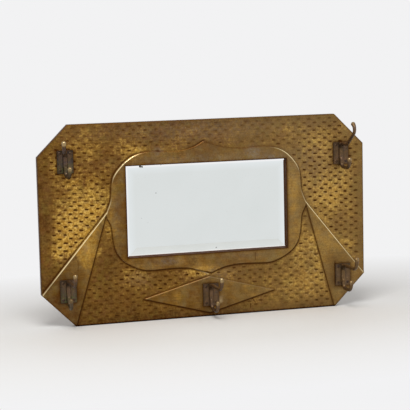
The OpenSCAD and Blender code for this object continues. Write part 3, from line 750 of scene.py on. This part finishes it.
def old_brass():
    """Sheet brass, pressed and left to tarnish: brown patina that stayed in the marks and
    wore to gold on high places, over a satin metal with the marks of the rolls. Its colour
    also holds painted light: sheen in the gold tone, glints, grey reflection, highlights on
    the crests and lips, and shade along the raised edges, in the corners and under the board."""
    material, node, spot = start_material("patinated_sheet_brass")
    grime, polish, gold, smooth, scuff = (
        node("Attribute", attribute_name=name, out="Fac")
        for name in ("grime", "polish", "gold", "smooth", "scuff"))

    def cloud(size, detail, rough, low, high, within=None):
        """Clouds of a real size in mm, from low to high, as strong as they may be within."""
        lumps = node("TexNoise", spot, Scale=1 / (size * MM), Detail=detail, Roughness=rough)
        lumps = node("MapRange", lumps, 0.3, 0.7, low, high)
        return lumps if within is None else node("Math", lumps, within, operation="MULTIPLY")

    # Marks of the rolls along the sheet, drawn 2.6 mm wide so that they show
    rolled = node("Mapping", spot, Scale=(1 / (45 * MM), 1 / (45 * MM), 1 / (2.6 * MM)))
    rolled = node("MapRange", node("TexNoise", rolled, Scale=1, Detail=2), 0.35, 0.65, -0.11, 0.11)
    # The gold tone: worn metal together with painted sheen
    tone = cloud(110, 5, 0.6, -0.14, 0.14)
    for part in (cloud(20, 5, 0.65, -0.2, 0.2), gold, rolled):
        tone = node("Math", tone, part, operation="ADD")
    across = node("SeparateXYZ", spot, out="X")
    ground = node("Math", 1, smooth, operation="SUBTRACT")
    # Painted glints: golden flecks, strongest on the punched ground where it is gold and towards
    # the left
    glints = node("Math", ground, 0.75, 0.25, operation="MULTIPLY_ADD")
    for part in (node("MapRange", tone, 0, 0.7, 0.08, 0.85),
                 node("MapRange", across, -0.15, 0.2, 1, 0.75)):
        glints = node("Math", glints, part, operation="MULTIPLY")
    on_smooth = node("Math", smooth, 0.5, 0.1, operation="MULTIPLY_ADD")
    metal = coats(
        node, "#4E3214", ((tone, -0.6, 0.1), "#835E28"),
        ((tone, 0.1, 0.8), "#BE8E38"), (cloud(38, 3, 0.5, -0.35, 0.4), "#74461E"),
        (cloud(27, 3, 0.5, -0.5, 0.35), "#7E6A2C"),
        (cloud(24, 4, 0.6, -0.4, 1, on_smooth), "#84704A"),
        (cloud(33, 4, 0.6, -0.7, 1, on_smooth), "#5C3C1C"),
        (cloud(14, 3, 0.5, -0.6, 0.55, ground), "#754E2C"),
        # Grey scuffs together with painted reflection
        (cloud(9, 4, 0.6, 0.1, 1.1, scuff), "#8A8682"),
        (cloud(5.5, 2, 0.5, -0.5, 1, glints), "#F6CA68"),
        ((across, -0.1, 0.3, 0, 0.24), "#A8905E"),
        # Dark specks, then the painted highlight
        (cloud(2.4, 3, 0.6, -0.35, 0.4), "#452B10"), (polish, "#FFE9B4"),
        # Patina in the hollows together with painted shade
        (node("Math", grime, 0.96, operation="MULTIPLY"), "#401D02"),
        # Painted shadow under the bottom edge, where the shade passes 1
        ((grime, 1, 1.25), "#0E0904"))
    rough = node("Math", grime, 0.25, cloud(20, 4, 0.6, 0.33, 0.45), operation="MULTIPLY_ADD")
    rough = node("Math", polish, -0.24, rough, operation="MULTIPLY_ADD")
    on_ground = node("Math", ground, 0.7, 0.3, operation="MULTIPLY_ADD")
    uneven = node("Math", cloud(7, 2, 0.5, 0, 1, on_ground), cloud(2.4, 3, 0.6, 0, 0.25),
                  operation="ADD")
    surface(node, uneven, 0.35 * MM, Base_Color=metal, Metallic=1, Roughness=rough)
    return material


facing = settle(show("embossed_brass_facing", embossed_sheet(), old_brass()))
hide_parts("brass_facing")
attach(facing, "board")

# ---- Facing pins --------------------------------------------------------------------
# Brass pins driven through the turned-over edge at the back and filed flush. They went
# brown together with the sheet; only the filed heads keep a little yellow.


def plain_brass(name, fresh, dull, rough):
    """Brass that was never lacquered: even brown tarnish over the metal, in small clouds."""
    material, node, spot = start_material(name)
    clouds = node("TexNoise", spot, Scale=1 / (12 * MM), Detail=4)
    specks = node("TexNoise", spot, Scale=1 / (1.2 * MM), Detail=2)
    metal = coats(node, fresh, ((clouds, 0.35, 0.65), dull),
                  ((specks, 0.55, 0.75, 0, 0.6), "#3A2712"))
    rough = node("MapRange", clouds, 0.3, 0.7, rough, rough + 0.15)
    surface(node, specks, 0.05 * MM, Base_Color=metal, Metallic=0.9, Roughness=rough)
    return material


dress("facing_pins", plain_brass("filed_brass_pins", "#A88445", "#6E5128", 0.4))

# ---- Mirror glass -------------------------------------------------------------------
# Plate glass, ground and polished to a wide bevel on four sides and silvered behind. It
# is bright but for a few dark spots; the thin bevel is painted paler than the green-grey
# middle and white along its outer edge: painted reflection and highlight.

GLASS_FRONT = -13.2 * MM
GLASS_EDGE = -10.2 * MM
SILVER_SPOTS = (  # place and size in mm, and how much silver is lost
    (-136, 75, 2.6, 0.35), (27, -81, 2.4, 0.7), (-177, 10, 2.2, 0.15), (-176, 147, 4.2, 1),
    (-171, 146, 3.2, 1), (-120, 148, 2, 0.3), (-160, -2, 2, 0.1),
)


def silvered_glass():
    """Silver behind clear glass: a mirror with a faint haze, greenish where it is thick, dark
    and dull where the silver is lost. The bevel is painted paler and its edge white:
    painted reflection and highlight."""
    material, node, spot = start_material("silvered_bevelled_glass")
    depth = node("SeparateXYZ", spot, out="Y")
    haze = node("TexNoise", spot, Scale=1 / (90 * MM), Detail=3)
    ragged = node("TexNoise", spot, Scale=1 / (2 * MM), Detail=3)
    flecks = node("TexVoronoi", spot, Scale=1 / (26 * MM))
    lost = node("MapRange", flecks, 0.02, 0.035, 0.2, 0)
    place = node("Mapping", spot, Scale=(1, 0, 1))
    for x, z, size, gone in SILVER_SPOTS:
        gap = node("VectorMath", place, (x * MM, 0, z * MM), operation="DISTANCE")
        gap = node("Math", ragged, size * MM, gap, operation="MULTIPLY_ADD")
        hole = node("MapRange", gap, size * MM, 1.35 * size * MM, gone, 0)
        lost = node("Math", lost, hole, operation="MAXIMUM")
    # Painted highlight: white along the bevel's outer edge
    edge = node("MapRange", depth, GLASS_EDGE - 0.9 * MM, GLASS_EDGE - 0.5 * MM)
    # The bevel painted paler towards its edge: painted reflection
    tint = coats(node, "#E5E9E7",
                 ((depth, GLASS_FRONT, GLASS_EDGE, 0.1, 1), "#F0F6F7"),
                 (edge, "#FFFFFF"), ((haze, 0.4, 0.8, 0, 0.3), "#DDE2DF"),
                 (lost, "#3C352C"))
    rough = node("MapRange", lost, 0, 1, 0.02, 0.35)
    node("OutputMaterial", node("BsdfPrincipled", Base_Color=tint, Metallic=1, Roughness=rough))
    return material


dress("mirror_glass", silvered_glass())

# ---- Glass blocks -------------------------------------------------------------------
# Slips split from a pine board and left as they came off the knife. They are pushed in
# between the glass and the timber round it, and keep the glass in the middle.

slips = planed_pine("split_softwood", "glass_blocks", True, 0.9, "#9C7A4E", "#86633A")
dress("glass_blocks", slips)

# ---- Felt ---------------------------------------------------------------------------
# One sheet of pressed wool felt behind the silver, so that the backing can't scratch it:
# matt, grey-brown, with short fibres lying every way.


def wool_felt():
    """Pressed wool: a soft matt surface of tangled light and dark fibres, drawn 0.9 mm thick
    so that they show."""
    material, node, spot = start_material("pressed_wool_felt")
    fibres = node("TexNoise", spot, Scale=1 / (0.9 * MM), Detail=5, Roughness=0.7, Distortion=1.5)
    wool = coats(node, "#3E3C37", ((fibres, 0.3, 0.7), "#67635A"))
    surface(node, fibres, 0.3 * MM, Base_Color=wool, Roughness=0.95, Sheen_Weight=0.3)
    return material


dress("felt_sheet", wool_felt())

# ---- Backing board ------------------------------------------------------------------
# A thin planed pine board, let into the back over glass and felt and pinned to its ledge.
# It was never varnished, so it went dry and grey-brown.

dry_pine = planed_pine("dry_backing_board", "backing_board", True, 2.6, "#A88D66", "#8D6F49")
dress("backing_board", dry_pine)

# ---- Backing pins -------------------------------------------------------------------
# Cut steel wire, driven through the backing board into its ledge until the ends lie flush.
# Bare steel, so it has rusted dark and rough.


def steel_wire():
    """Drawn steel under clouds of brown rust, roughest where it rusted."""
    material, node, spot = start_material("rusted_steel_wire")
    rust = node("TexNoise", spot, Scale=1 / (0.8 * MM), Detail=4)
    metal = coats(node, "#77726A", ((rust, 0.35, 0.65), "#5A3B26"))
    rough = node("MapRange", rust, 0.3, 0.7, 0.35, 0.8)
    surface(node, rust, 0.08 * MM, Base_Color=metal, Metallic=0.75, Roughness=rough)
    return material


rusted = steel_wire()
dress("backing_pins", rusted)

# ---- Hook plates --------------------------------------------------------------------
# Five cast brass plates with filed, rounded rims, patinated dark brown by the founder.
# Four screws hold each one; the two on the left have gone green where damp stood on them.

PLATE = (43 * MM, 60 * MM, 2.5 * MM)  # width, height, thickness
PLATE_CORNER = 2 * MM
RIM = 0.8 * MM  # radius of the rounded rim
SCREW_PLACES = [(x * MM, z * MM) for x in (-14, 14) for z in (-22, 22)]
SCREW_HOLE = 1.9 * MM
THIN_PATINA = {  # how far the patina wore off a casting
    "bottom_right": 0.22, "bottom_mid": 0.12, "bottom_left": 0.06, "top_right": 0.12}
DAMP = {"bottom_left": 0.5, "top_left": 0.45}  # how green a casting went


def dark_brass():
    """Cast brass under a dark patina: brown with purple and red clouds, worn to pale
    metal where `worn` is high, powdery green where `green` is, and near black where
    patina and painted shade lie. The grain of the sand mould is drawn 1.1 mm coarse so
    that it shows."""
    material, node, spot = start_material("patinated_cast_brass")
    worn, green, grime = (node("Attribute", attribute_name=name, out="Fac")
                          for name in ("worn", "green", "grime"))
    clouds = node("TexNoise", spot, Scale=1 / (22 * MM), Detail=4)
    violet = node("TexNoise", spot, Scale=1 / (15 * MM), Detail=3)
    patch = node("TexNoise", spot, Scale=1 / (6 * MM), Detail=5, Roughness=0.6)
    grain = node("TexNoise", spot, Scale=1 / (1.1 * MM), Detail=3)
    bare = node("Math", node("MapRange", patch, 0.3, 0.7, -0.25, 0.25), worn, operation="ADD")
    bare = node("MapRange", bare, 0.3, 1.05)
    damp = node("Math", node("MapRange", patch, 0.4, 0.6, 0, 1.6), green, operation="MULTIPLY")
    # Near black where patina and painted shade lie
    kept = node("Math", grime, node("MapRange", patch, 0.3, 0.7, 1, 0.75), operation="MULTIPLY")
    metal = coats(
        node, "#54412C", ((clouds, 0.38, 0.62), "#6B513D"),
        ((violet, 0.48, 0.62, 0, 0.6), "#4C4144"),
        ((patch, 0.5, 0.72, 0, 0.6), "#6E4A2C"),
        ((patch, 0.45, 0.28, 0, 0.75), "#2C2A22"),
        ((worn, 0, 0.45, 0, 0.85), "#80643C"), (bare, "#BCA67A"),
        (damp, "#515A34"), (kept, "#19130C"))
    surface(node, node("Math", patch, grain, operation="ADD"), 0.22 * MM, Base_Color=metal,
            Metallic=0.8, Roughness=node("MapRange", bare, 0, 0.6, 0.4, 0.2))
    return material


bronze = dark_brass()


def ring_of(radius, count, centre=(0, 0)):
    """Points round a circle."""
    angles = [k * 2 * math.pi / count for k in range(count)]
    return [(centre[0] + radius * math.cos(a), centre[1] + radius * math.sin(a)) for a in angles]


def plate_outline():
    """The plate's outline with round corners, drawn anticlockwise."""
    wide, high = PLATE[0] / 2 - PLATE_CORNER, PLATE[1] / 2 - PLATE_CORNER
    corners = ((wide, high), (-wide, high), (-wide, -high), (wide, -high))
    turns = [(corner, (turn + k / 6) * math.pi / 2)
             for turn, corner in enumerate(corners) for k in range(7)]
    return [(x + PLATE_CORNER * math.cos(a), z + PLATE_CORNER * math.sin(a))
            for (x, z), a in turns]


def cast_plate():
    """One plate round its own centre, its back at y = 0 and its front towards -Y."""
    curve = bpy.data.curves.new("plate", "CURVE")
    curve.dimensions = "2D"
    curve.fill_mode = "BOTH"
    curve.extrude = PLATE[2] / 2 - RIM
    curve.bevel_depth = RIM
    curve.bevel_resolution = 3
    curve.offset = -RIM
    for ring in [plate_outline()] + [ring_of(SCREW_HOLE, 20, place) for place in SCREW_PLACES]:
        line = curve.splines.new("POLY")
        line.points.add(len(ring) - 1)
        line.use_cyclic_u = True
        for point, (x, z) in zip(line.points, ring):
            point.co = (x, z, 0, 1)
    drawn = bpy.data.objects.new("plate", curve)
    mesh = bpy.data.meshes.new_from_object(drawn)
    bpy.data.objects.remove(drawn)
    upright = Matrix.Rotation(math.pi / 2, 4, "X")
    mesh.transform(Matrix.Translation((0, -PLATE[2] / 2, 0)) @ upright)
    return mesh


def read_points(mesh, what="co"):
    """The places or normals of a mesh's points, as rows of (x, y, z)."""
    values = np.empty(3 * len(mesh.vertices), np.float32)
    mesh.vertices.foreach_get(what, values)
    return values.reshape(-1, 3).astype(float)


def hook_place(name):
    """The middle of a plate's front face."""
    low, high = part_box("hook_plate_" + name)
    return Vector(((low.x + high.x) / 2, low.y, (low.z + high.z) / 2))


def damp_green(spots, name):
    """Verdigris along the lower edge of the left plates and on their hooks."""
    return DAMP.get(name, 0) * bell(spots[:, 2] - (hook_place(name).z - 24 * MM), 16 * MM)


def plate_shade_and_dirt(spots, name):
    """Painted shade along the foot of the rib and under the hat arm, where its shadow falls,
    and darker along the rim.
    """
    away = (spots - np.array(hook_place(name))) / MM
    side, up = np.abs(away[:, 0]), away[:, 2]
    rim = np.minimum(PLATE[0] / MM / 2 - side, PLATE[1] / MM / 2 - np.abs(up))
    dirt_and_shade = np.maximum(0.9 * bell(side - 7, 3.2), 0.8 * np.clip((up - 15) / 12, 0, 1))
    return np.maximum(dirt_and_shade, 0.5 * bell(rim, 2))


for name in HOOKS:
    mesh = cast_plate()
    mesh.transform(Matrix.Translation(hook_place(name) + Vector((0, PLATE[2], 0))))
    spots = read_points(mesh)
    thin = THIN_PATINA.get(name, 0)
    mark_points(mesh, "green", damp_green(spots, name))
    mark_points(mesh, "grime", plate_shade_and_dirt(spots, name) * (1 - 1.5 * thin))
    mark_points(mesh, "worn", [thin] * len(spots))
    plate = settle(show("cast_plate_" + name, mesh, bronze))
    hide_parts("hook_plate_" + name)
    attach(plate, "board")

# ---- Hooks --------------------------------------------------------------------------
# Five double hooks cast from one pattern: a half-round rib with a long hat arm above and
# a short coat arm below, tapering and ending in knobs. Dark patina, knobs handled bright.

ARM_OUT = 5.1 * MM  # from the plate to the middle of the arm where it leaves the rib
RIB = (6.5 * MM, 1.5 * MM, 23.5 * MM)  # radius, axis from the plate, half length of its middle
KNOB = 6.1 * MM
CAST_GRID = 0.9 * MM  # spacing of the finished skin
# Arms in mm and degrees: start above the middle, heading, then run, radius, turn
HAT_ARM = (15, 90, ((0, 12, -90), (62, 23, 104)))
BENT_HAT_ARM = (15, 90, ((0, 12, -90), (26, 12, 33), (52, 15, 125)))
COAT_ARM = (-13, -90, ((12, 12, 90), (25, 19, 104)))
THICKNESS = ((0, 0.15, 0.5, 0.78, 0.9, 1), (5.3, 5.0, 4.5, 4.3, 4.8, 5.6))  # share, radius in mm
SIDEWAYS = {"top_left": (-12, 0), "bottom_left": (0, -5)}  # degrees, hat arm and coat arm
HANDLED = {  # how bare the two knobs wore
    "top_left": (1.6, 1.4), "bottom_mid": (1.5, 0.9), "bottom_left": (1.2, 0.7),
    "top_right": (0.9, 1.0), "bottom_right": (0.9, 0.9)}
HANDLED_REACH = 11 * MM


def arm_line(start, heading, steps):
    """The middle line of an arm as points (out, up) from the plate's centre, 1 mm apart."""
    at, way = np.array([ARM_OUT, start * MM]), math.radians(heading)
    line = [at]
    for run, radius, turn in steps:
        for _ in range(round(run)):
            at = at + np.array([math.cos(way), math.sin(way)]) * MM
            line.append(at)
        count = round(radius * math.radians(abs(turn)))
        swing = math.radians(turn) / count
        chord = 2 * radius * MM * math.sin(abs(swing) / 2)
        for _ in range(count):
            way += swing / 2
            at = at + np.array([math.cos(way), math.sin(way)]) * chord
            line.append(at)
            way += swing / 2
    return np.array(line)


def add_rings(tidy, rings):
    """Skins a row of closed rings and closes both ends."""
    made = [[tidy.verts.new(spot) for spot in ring] for ring in rings]
    for a, b in zip(made, made[1:]):
        for i in range(len(a)):
            j = (i + 1) % len(a)
            tidy.faces.new((a[i], a[j], b[j], b[i]))
    tidy.faces.new(made[0][::-1])
    tidy.faces.new(made[-1])


def add_arm(tidy, line, sideways):
    """A tapering round arm with its knob; returns the knob's centre."""
    way = np.gradient(line, axis=0)
    way /= np.linalg.norm(way, axis=1)[:, None]
    thick = np.interp(np.linspace(0, 1, len(line)), *THICKNESS) * MM
    cosine, sine = math.cos(math.radians(sideways)), math.sin(math.radians(sideways))

    def placed(out, across, up):
        """A point of the arm, turned sideways about where it leaves the rib."""
        out -= ARM_OUT
        return (sine * out + cosine * across, -(ARM_OUT + cosine * out - sine * across), up)

    def ring_round(out, up, dx, dz, radius):
        """A circle round the middle line, square to its way."""
        return [placed(out - dz * c, s, up + dx * c) for c, s in ring_of(radius, 24)]

    add_rings(tidy, [ring_round(*at, *to, radius) for at, to, radius in zip(line, way, thick)])
    (out, up), (dx, dz) = line[-1], way[-1]
    ball = []
    for k in range(1, 12):
        a = math.pi * k / 12
        along = -KNOB * 0.94 * math.cos(a)
        ball.append(ring_round(out + dx * along, up + dz * along, dx, dz, KNOB * math.sin(a)))
    add_rings(tidy, ball)
    return np.array(placed(out, 0, up))


def add_rib(tidy):
    """The half-round rib with its round ends."""
    radius, off, half = RIB
    rings = []
    for k in range(-12, 13):
        a = math.radians(84) * abs(k) / 12 if abs(k) > 1 else 0
        z = math.copysign(half + radius * math.sin(a), k) if k else 0
        rings.append([(x, min(0, y - off), z) for x, y in ring_of(radius * math.cos(a), 32)])
    add_rings(tidy, rings)


def cast_hook(name):
    """One hook round the middle of its plate's front, cast in one skin."""
    hat_side, coat_side = SIDEWAYS.get(name, (0, 0))
    hat_arm = BENT_HAT_ARM if name == "top_right" else HAT_ARM
    tidy = bmesh.new()
    add_rib(tidy)
    knobs = [add_arm(tidy, arm_line(*hat_arm), hat_side),
             add_arm(tidy, arm_line(*COAT_ARM), coat_side)]
    bmesh.ops.recalc_face_normals(tidy, faces=tidy.faces)
    mesh = bpy.data.meshes.new("cast_hook")
    tidy.to_mesh(mesh)
    tidy.free()
    piece = show("cast_hook_" + name, mesh)
    skin = piece.modifiers.new("skin", "REMESH")
    skin.mode, skin.voxel_size = "VOXEL", CAST_GRID
    soften = piece.modifiers.new("soften", "SMOOTH")
    soften.factor, soften.iterations = 0.5, 5
    mesh = settle(piece).data
    spots = read_points(mesh)
    worn = np.full(len(spots), THIN_PATINA.get(name, 0.0))
    for knob, bare in zip(knobs, HANDLED[name]):
        gap = np.linalg.norm(spots - knob, axis=1)
        worn = np.maximum(worn, np.clip(bare * (1 - gap / HANDLED_REACH), 0, 1))
    # Painted shade: dark where the hook meets the plate, round the top of the rib below the hat
    # arm, and on faces that look down
    below = np.clip(-read_points(mesh, "normal")[:, 2], 0, 1)
    root = bell(spots[:, 2] / MM - 19, 7) * (spots[:, 1] > -16 * MM)
    grime = np.maximum(0.9 * bell(spots[:, 1], 2.5 * MM), np.maximum(0.7 * root, 0.5 * below))
    spots[:, 1] = np.minimum(spots[:, 1], 0)
    spots += np.array(hook_place(name))
    mesh.vertices.foreach_set("co", spots.astype(np.float32).ravel())
    mark_points(mesh, "worn", worn)
    mark_points(mesh, "grime", grime)
    mark_points(mesh, "green", 0.7 * damp_green(spots, name))
    mesh.materials.clear()
    mesh.materials.append(bronze)
    mesh.update()
    return piece


for name in HOOKS:
    hook = cast_hook(name)
    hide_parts("hook_" + name)
    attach(hook, "board")

# ---- Rivets -------------------------------------------------------------------------
# Two brass rivets join each rib to its plate, hammered over behind it. Both ends are out
# of sight once the plate is screwed on.

dress("hook_rivets", plain_brass("brass_rivets", "#A88445", "#6E5128", 0.4))

# ---- Hook screws --------------------------------------------------------------------
# Slotted brass wood screws with raised countersunk heads, browned with the plates, each
# slot left where the screwdriver stopped.

SCREW_INPUTS = {
    "Geometry": "Geometry", "Head radius": "Float", "Head rise": "Float",
    "Shank radius": "Float", "Length": "Float", "Slot": "Float", "Least turn": "Vector",
    "Greatest turn": "Vector", "Seed": "Int", "Metal": "Material"}
SIDES = 32  # of a screw's head, and half as many of its shank
HOOK_SCREW = {"Head radius": 4 * MM, "Head rise": 1.1 * MM, "Shank radius": 1.75 * MM,
              "Length": 17 * MM, "Slot": 0.9 * MM}


def screw_tree():
    """Geometry nodes that set a slotted screw at each point, its head towards local +Z."""
    tree = bpy.data.node_groups.new("slotted_screws", "GeometryNodeTree")
    for name, kind in SCREW_INPUTS.items():
        tree.interface.new_socket(name, in_out="INPUT", socket_type="NodeSocket" + kind)
    tree.interface.new_socket("Geometry", in_out="OUTPUT", socket_type="NodeSocketGeometry")
    node = partial(add, tree)
    given = node("NodeGroupInput").node.outputs
    head, rise, shank = given["Head radius"], given["Head rise"], given["Shank radius"]

    def raised(mesh, height):
        """A shape moved up by a height."""
        return node("GeometryNodeTransform", mesh, Translation=node("CombineXYZ", 0, 0, height))

    squares = node("Math", rise, rise, node("Math", head, head, operation="MULTIPLY"),
                   operation="MULTIPLY_ADD")
    twice = node("Math", rise, 2, operation="MULTIPLY")
    dome = node("Math", squares, twice, operation="DIVIDE")
    ball = node("GeometryNodeMeshUVSphere", SIDES, 48, dome)
    ball = raised(ball, node("Math", rise, dome, operation="SUBTRACT"))
    barrel = node("GeometryNodeMeshCylinder", SIDES, Radius=head, Depth=twice)
    cap = node("GeometryNodeMeshBoolean", Mesh_2=[raised(barrel, rise), ball],
               operation="INTERSECT", solver="EXACT")
    size = node("CombineXYZ", node("Math", head, 3, operation="MULTIPLY"), given["Slot"],
                node("Math", rise, 1.3, operation="MULTIPLY"))
    slot = raised(node("GeometryNodeMeshCube", size), rise)
    cap = node("GeometryNodeMeshBoolean", Mesh_1=cap, Mesh_2=slot, operation="DIFFERENCE",
               solver="EXACT")
    taper = node("Math", head, shank, operation="SUBTRACT")
    cone = node("GeometryNodeMeshCone", SIDES, Radius_Top=head, Radius_Bottom=shank, Depth=taper)
    cone = raised(cone, node("Math", taper, -1, operation="MULTIPLY"))
    rod = node("GeometryNodeMeshCylinder", SIDES // 2, Radius=shank, Depth=given["Length"])
    rod = raised(rod, node("Math", given["Length"], -0.5, operation="MULTIPLY"))
    screw = node("GeometryNodeJoinGeometry", [cap, cone, rod])
    turn = node("FunctionNodeRandomValue", given["Least turn"], given["Greatest turn"],
                Seed=given["Seed"], data_type="FLOAT_VECTOR")
    placed = node("GeometryNodeInstanceOnPoints", given["Geometry"], Instance=screw,
                  Rotation=node("FunctionNodeEulerToRotation", turn))
    real = node("GeometryNodeRealizeInstances", placed)
    node("NodeGroupOutput", node("GeometryNodeSetMaterial", real, Material=given["Metal"]))
    return tree


screws_by_rule = screw_tree()


def set_screws(name, places, facing_turn, metal, seed, sizes):
    """Screws at the given places; their heads face -Y for a turn of 90 degrees, +Y for -90."""
    mesh = bpy.data.meshes.new(name)
    mesh.from_pydata(places, [], [])
    piece = show(name, mesh)
    rule = piece.modifiers.new("screws", "NODES")
    rule.node_group = screws_by_rule
    turn = math.radians(facing_turn)
    values = {**sizes, "Least turn": (turn, 0, 0), "Greatest turn": (turn, math.pi, 0),
              "Seed": seed, "Metal": metal}
    for socket in screws_by_rule.interface.items_tree:
        if socket.in_out == "INPUT" and socket.name in values:
            rule[socket.identifier] = values[socket.name]
    mesh = settle(piece).data
    mesh.materials.clear()
    mesh.materials.append(metal)
    mesh.polygons.foreach_set("material_index", [0] * len(mesh.polygons))
    return piece


places = []
for name in HOOKS:
    middle = hook_place(name)
    places += [(middle.x + dx, middle.y, middle.z + dz) for dx, dz in SCREW_PLACES]
hook_screws = set_screws("slotted_hook_screws", places, 90, bronze, 4, HOOK_SCREW)
mark_points(hook_screws.data, "grime", [0.5] * len(hook_screws.data.vertices))
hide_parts("hook_screws")
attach(hook_screws, "board")

# ---- Straps and rings ---------------------------------------------------------------
# Two brass straps, each folded round one side of a ring, let into a pocket in the back.
# The rings swing up over the wall hooks. Rolled and drawn brass, dull with age.

for side in ("left", "right"):
    strap = plain_brass("rolled_brass_strap_" + side, "#B08A45", "#7C5D2C", 0.34)
    dress("ring_strap_" + side, strap)
    ring = plain_brass("drawn_brass_ring_" + side, "#B9924B", "#86662F", 0.3)
    dress("hanging_ring_" + side, ring)

# ---- Ring screws --------------------------------------------------------------------
# Small slotted steel wood screws, two through each strap into the frame. Their raised heads
# have gone dull grey-brown with rust.

STRAP = (30 * MM, 1.2 * MM)  # length and thickness
STRAP_HOLES = (0.3, 0.87)  # shares of its length, from below
RING_SCREW = {"Head radius": 2.8 * MM, "Head rise": 0.5 * MM, "Shank radius": 1.4 * MM,
              "Length": 9 * MM, "Slot": 0.7 * MM}

places = []
for side in ("left", "right"):
    low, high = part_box("ring_strap_" + side)
    for share in STRAP_HOLES:
        places.append(((low.x + high.x) / 2, low.y + STRAP[1], high.z - (1 - share) * STRAP[0]))
ring_screws = set_screws("slotted_ring_screws", places, -90, rusted, 9, RING_SCREW)
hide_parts("ring_screws")
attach(ring_screws, "board")

# ---- Floor, light and camera --------------------------------------------------------
# A plain pale floor under the board, soft light from above and the photograph's view.

STUDIO_WHITE = linear("#F2F2F3")
FLOOR_RADIUS = 7.0
LAMP = ((-0.6, -1.6, 2.4), 1.4, 55)  # place and width in metres, power in watts
PICTURE, FOCAL, SENSOR = 410, 1450, 36  # width and focal length in picture elements, mm
CAMERA_PLACE = (-1.0642, -3.7046, 0.5012)
CAMERA_TURN = (16.054, 6.909, -1.324)  # degrees to the right, down and rolled


def is_seen(node):
    """1 for what the camera, a reflection or glass looks at, 0 for the light on the object."""
    ray = node("LightPath").node.outputs
    seen = node("Math", ray["Is Camera Ray"], ray["Is Glossy Ray"], operation="MAXIMUM")
    return node("Math", seen, ray["Is Transmission Ray"], operation="MAXIMUM")


def pale_floor():
    """Matt pale paint that runs out into the white round it, a step away from the object."""
    material, node, spot = start_material("pale_floor_paint")
    paint = node("BsdfPrincipled", Base_Color=linear("#E4E2DE"), Roughness=0.7)
    place = node("Mapping", spot, Scale=(0.5, 1, 0))
    away = node("MapRange", node("VectorMath", place, operation="LENGTH"), 0.3, 0.85)
    out = node("Math", away, is_seen(node), operation="MULTIPLY")
    node("OutputMaterial", node("MixShader", out, paint, node("Emission", STUDIO_WHITE, 1)))
    return material


ground = bmesh.new()
bmesh.ops.create_circle(ground, cap_ends=True, segments=96, radius=FLOOR_RADIUS,
                        matrix=Matrix.Translation((0, 0, cad_box[0].z)))
floor_mesh = bpy.data.meshes.new("floor")
ground.to_mesh(floor_mesh)
ground.free()
show("floor", floor_mesh, pale_floor())

world = bpy.data.worlds.new("soft_studio")
world.use_nodes = True
world.node_tree.nodes.clear()
sky = partial(add, world.node_tree)
sky("OutputWorld", sky("Background", STUDIO_WHITE, sky("MapRange", is_seen(sky), 0, 1, 0.6, 1)))
bpy.context.scene.world = world

lamp = bpy.data.lights.new("overhead_lamp", "AREA")
lamp.shape = "SQUARE"
holder = bpy.data.objects.new("overhead_lamp", lamp)
holder.location, lamp.size, lamp.energy = LAMP
holder.rotation_mode = "QUATERNION"
holder.rotation_quaternion = (-holder.location).to_track_quat("-Z", "Y")
bpy.context.scene.collection.objects.link(holder)

camera = bpy.data.cameras.new("view")
camera.sensor_width = SENSOR
camera.lens = SENSOR * FOCAL / PICTURE
yaw, pitch, roll = (math.radians(a) for a in CAMERA_TURN)
look = Vector((math.sin(yaw) * math.cos(pitch), math.cos(yaw) * math.cos(pitch), -math.sin(pitch)))
level = Vector((math.cos(yaw), -math.sin(yaw), 0))
upright = level.cross(look)
right = level * math.cos(roll) + upright * math.sin(roll)
up = upright * math.cos(roll) - level * math.sin(roll)
turned = Matrix((right, up, -look)).transposed().to_4x4()
viewer = bpy.data.objects.new("view", camera)
viewer.matrix_world = Matrix.Translation(CAMERA_PLACE) @ turned
bpy.context.scene.collection.objects.link(viewer)
bpy.context.scene.camera = viewer
bpy.context.scene.view_settings.view_transform = "Standard"
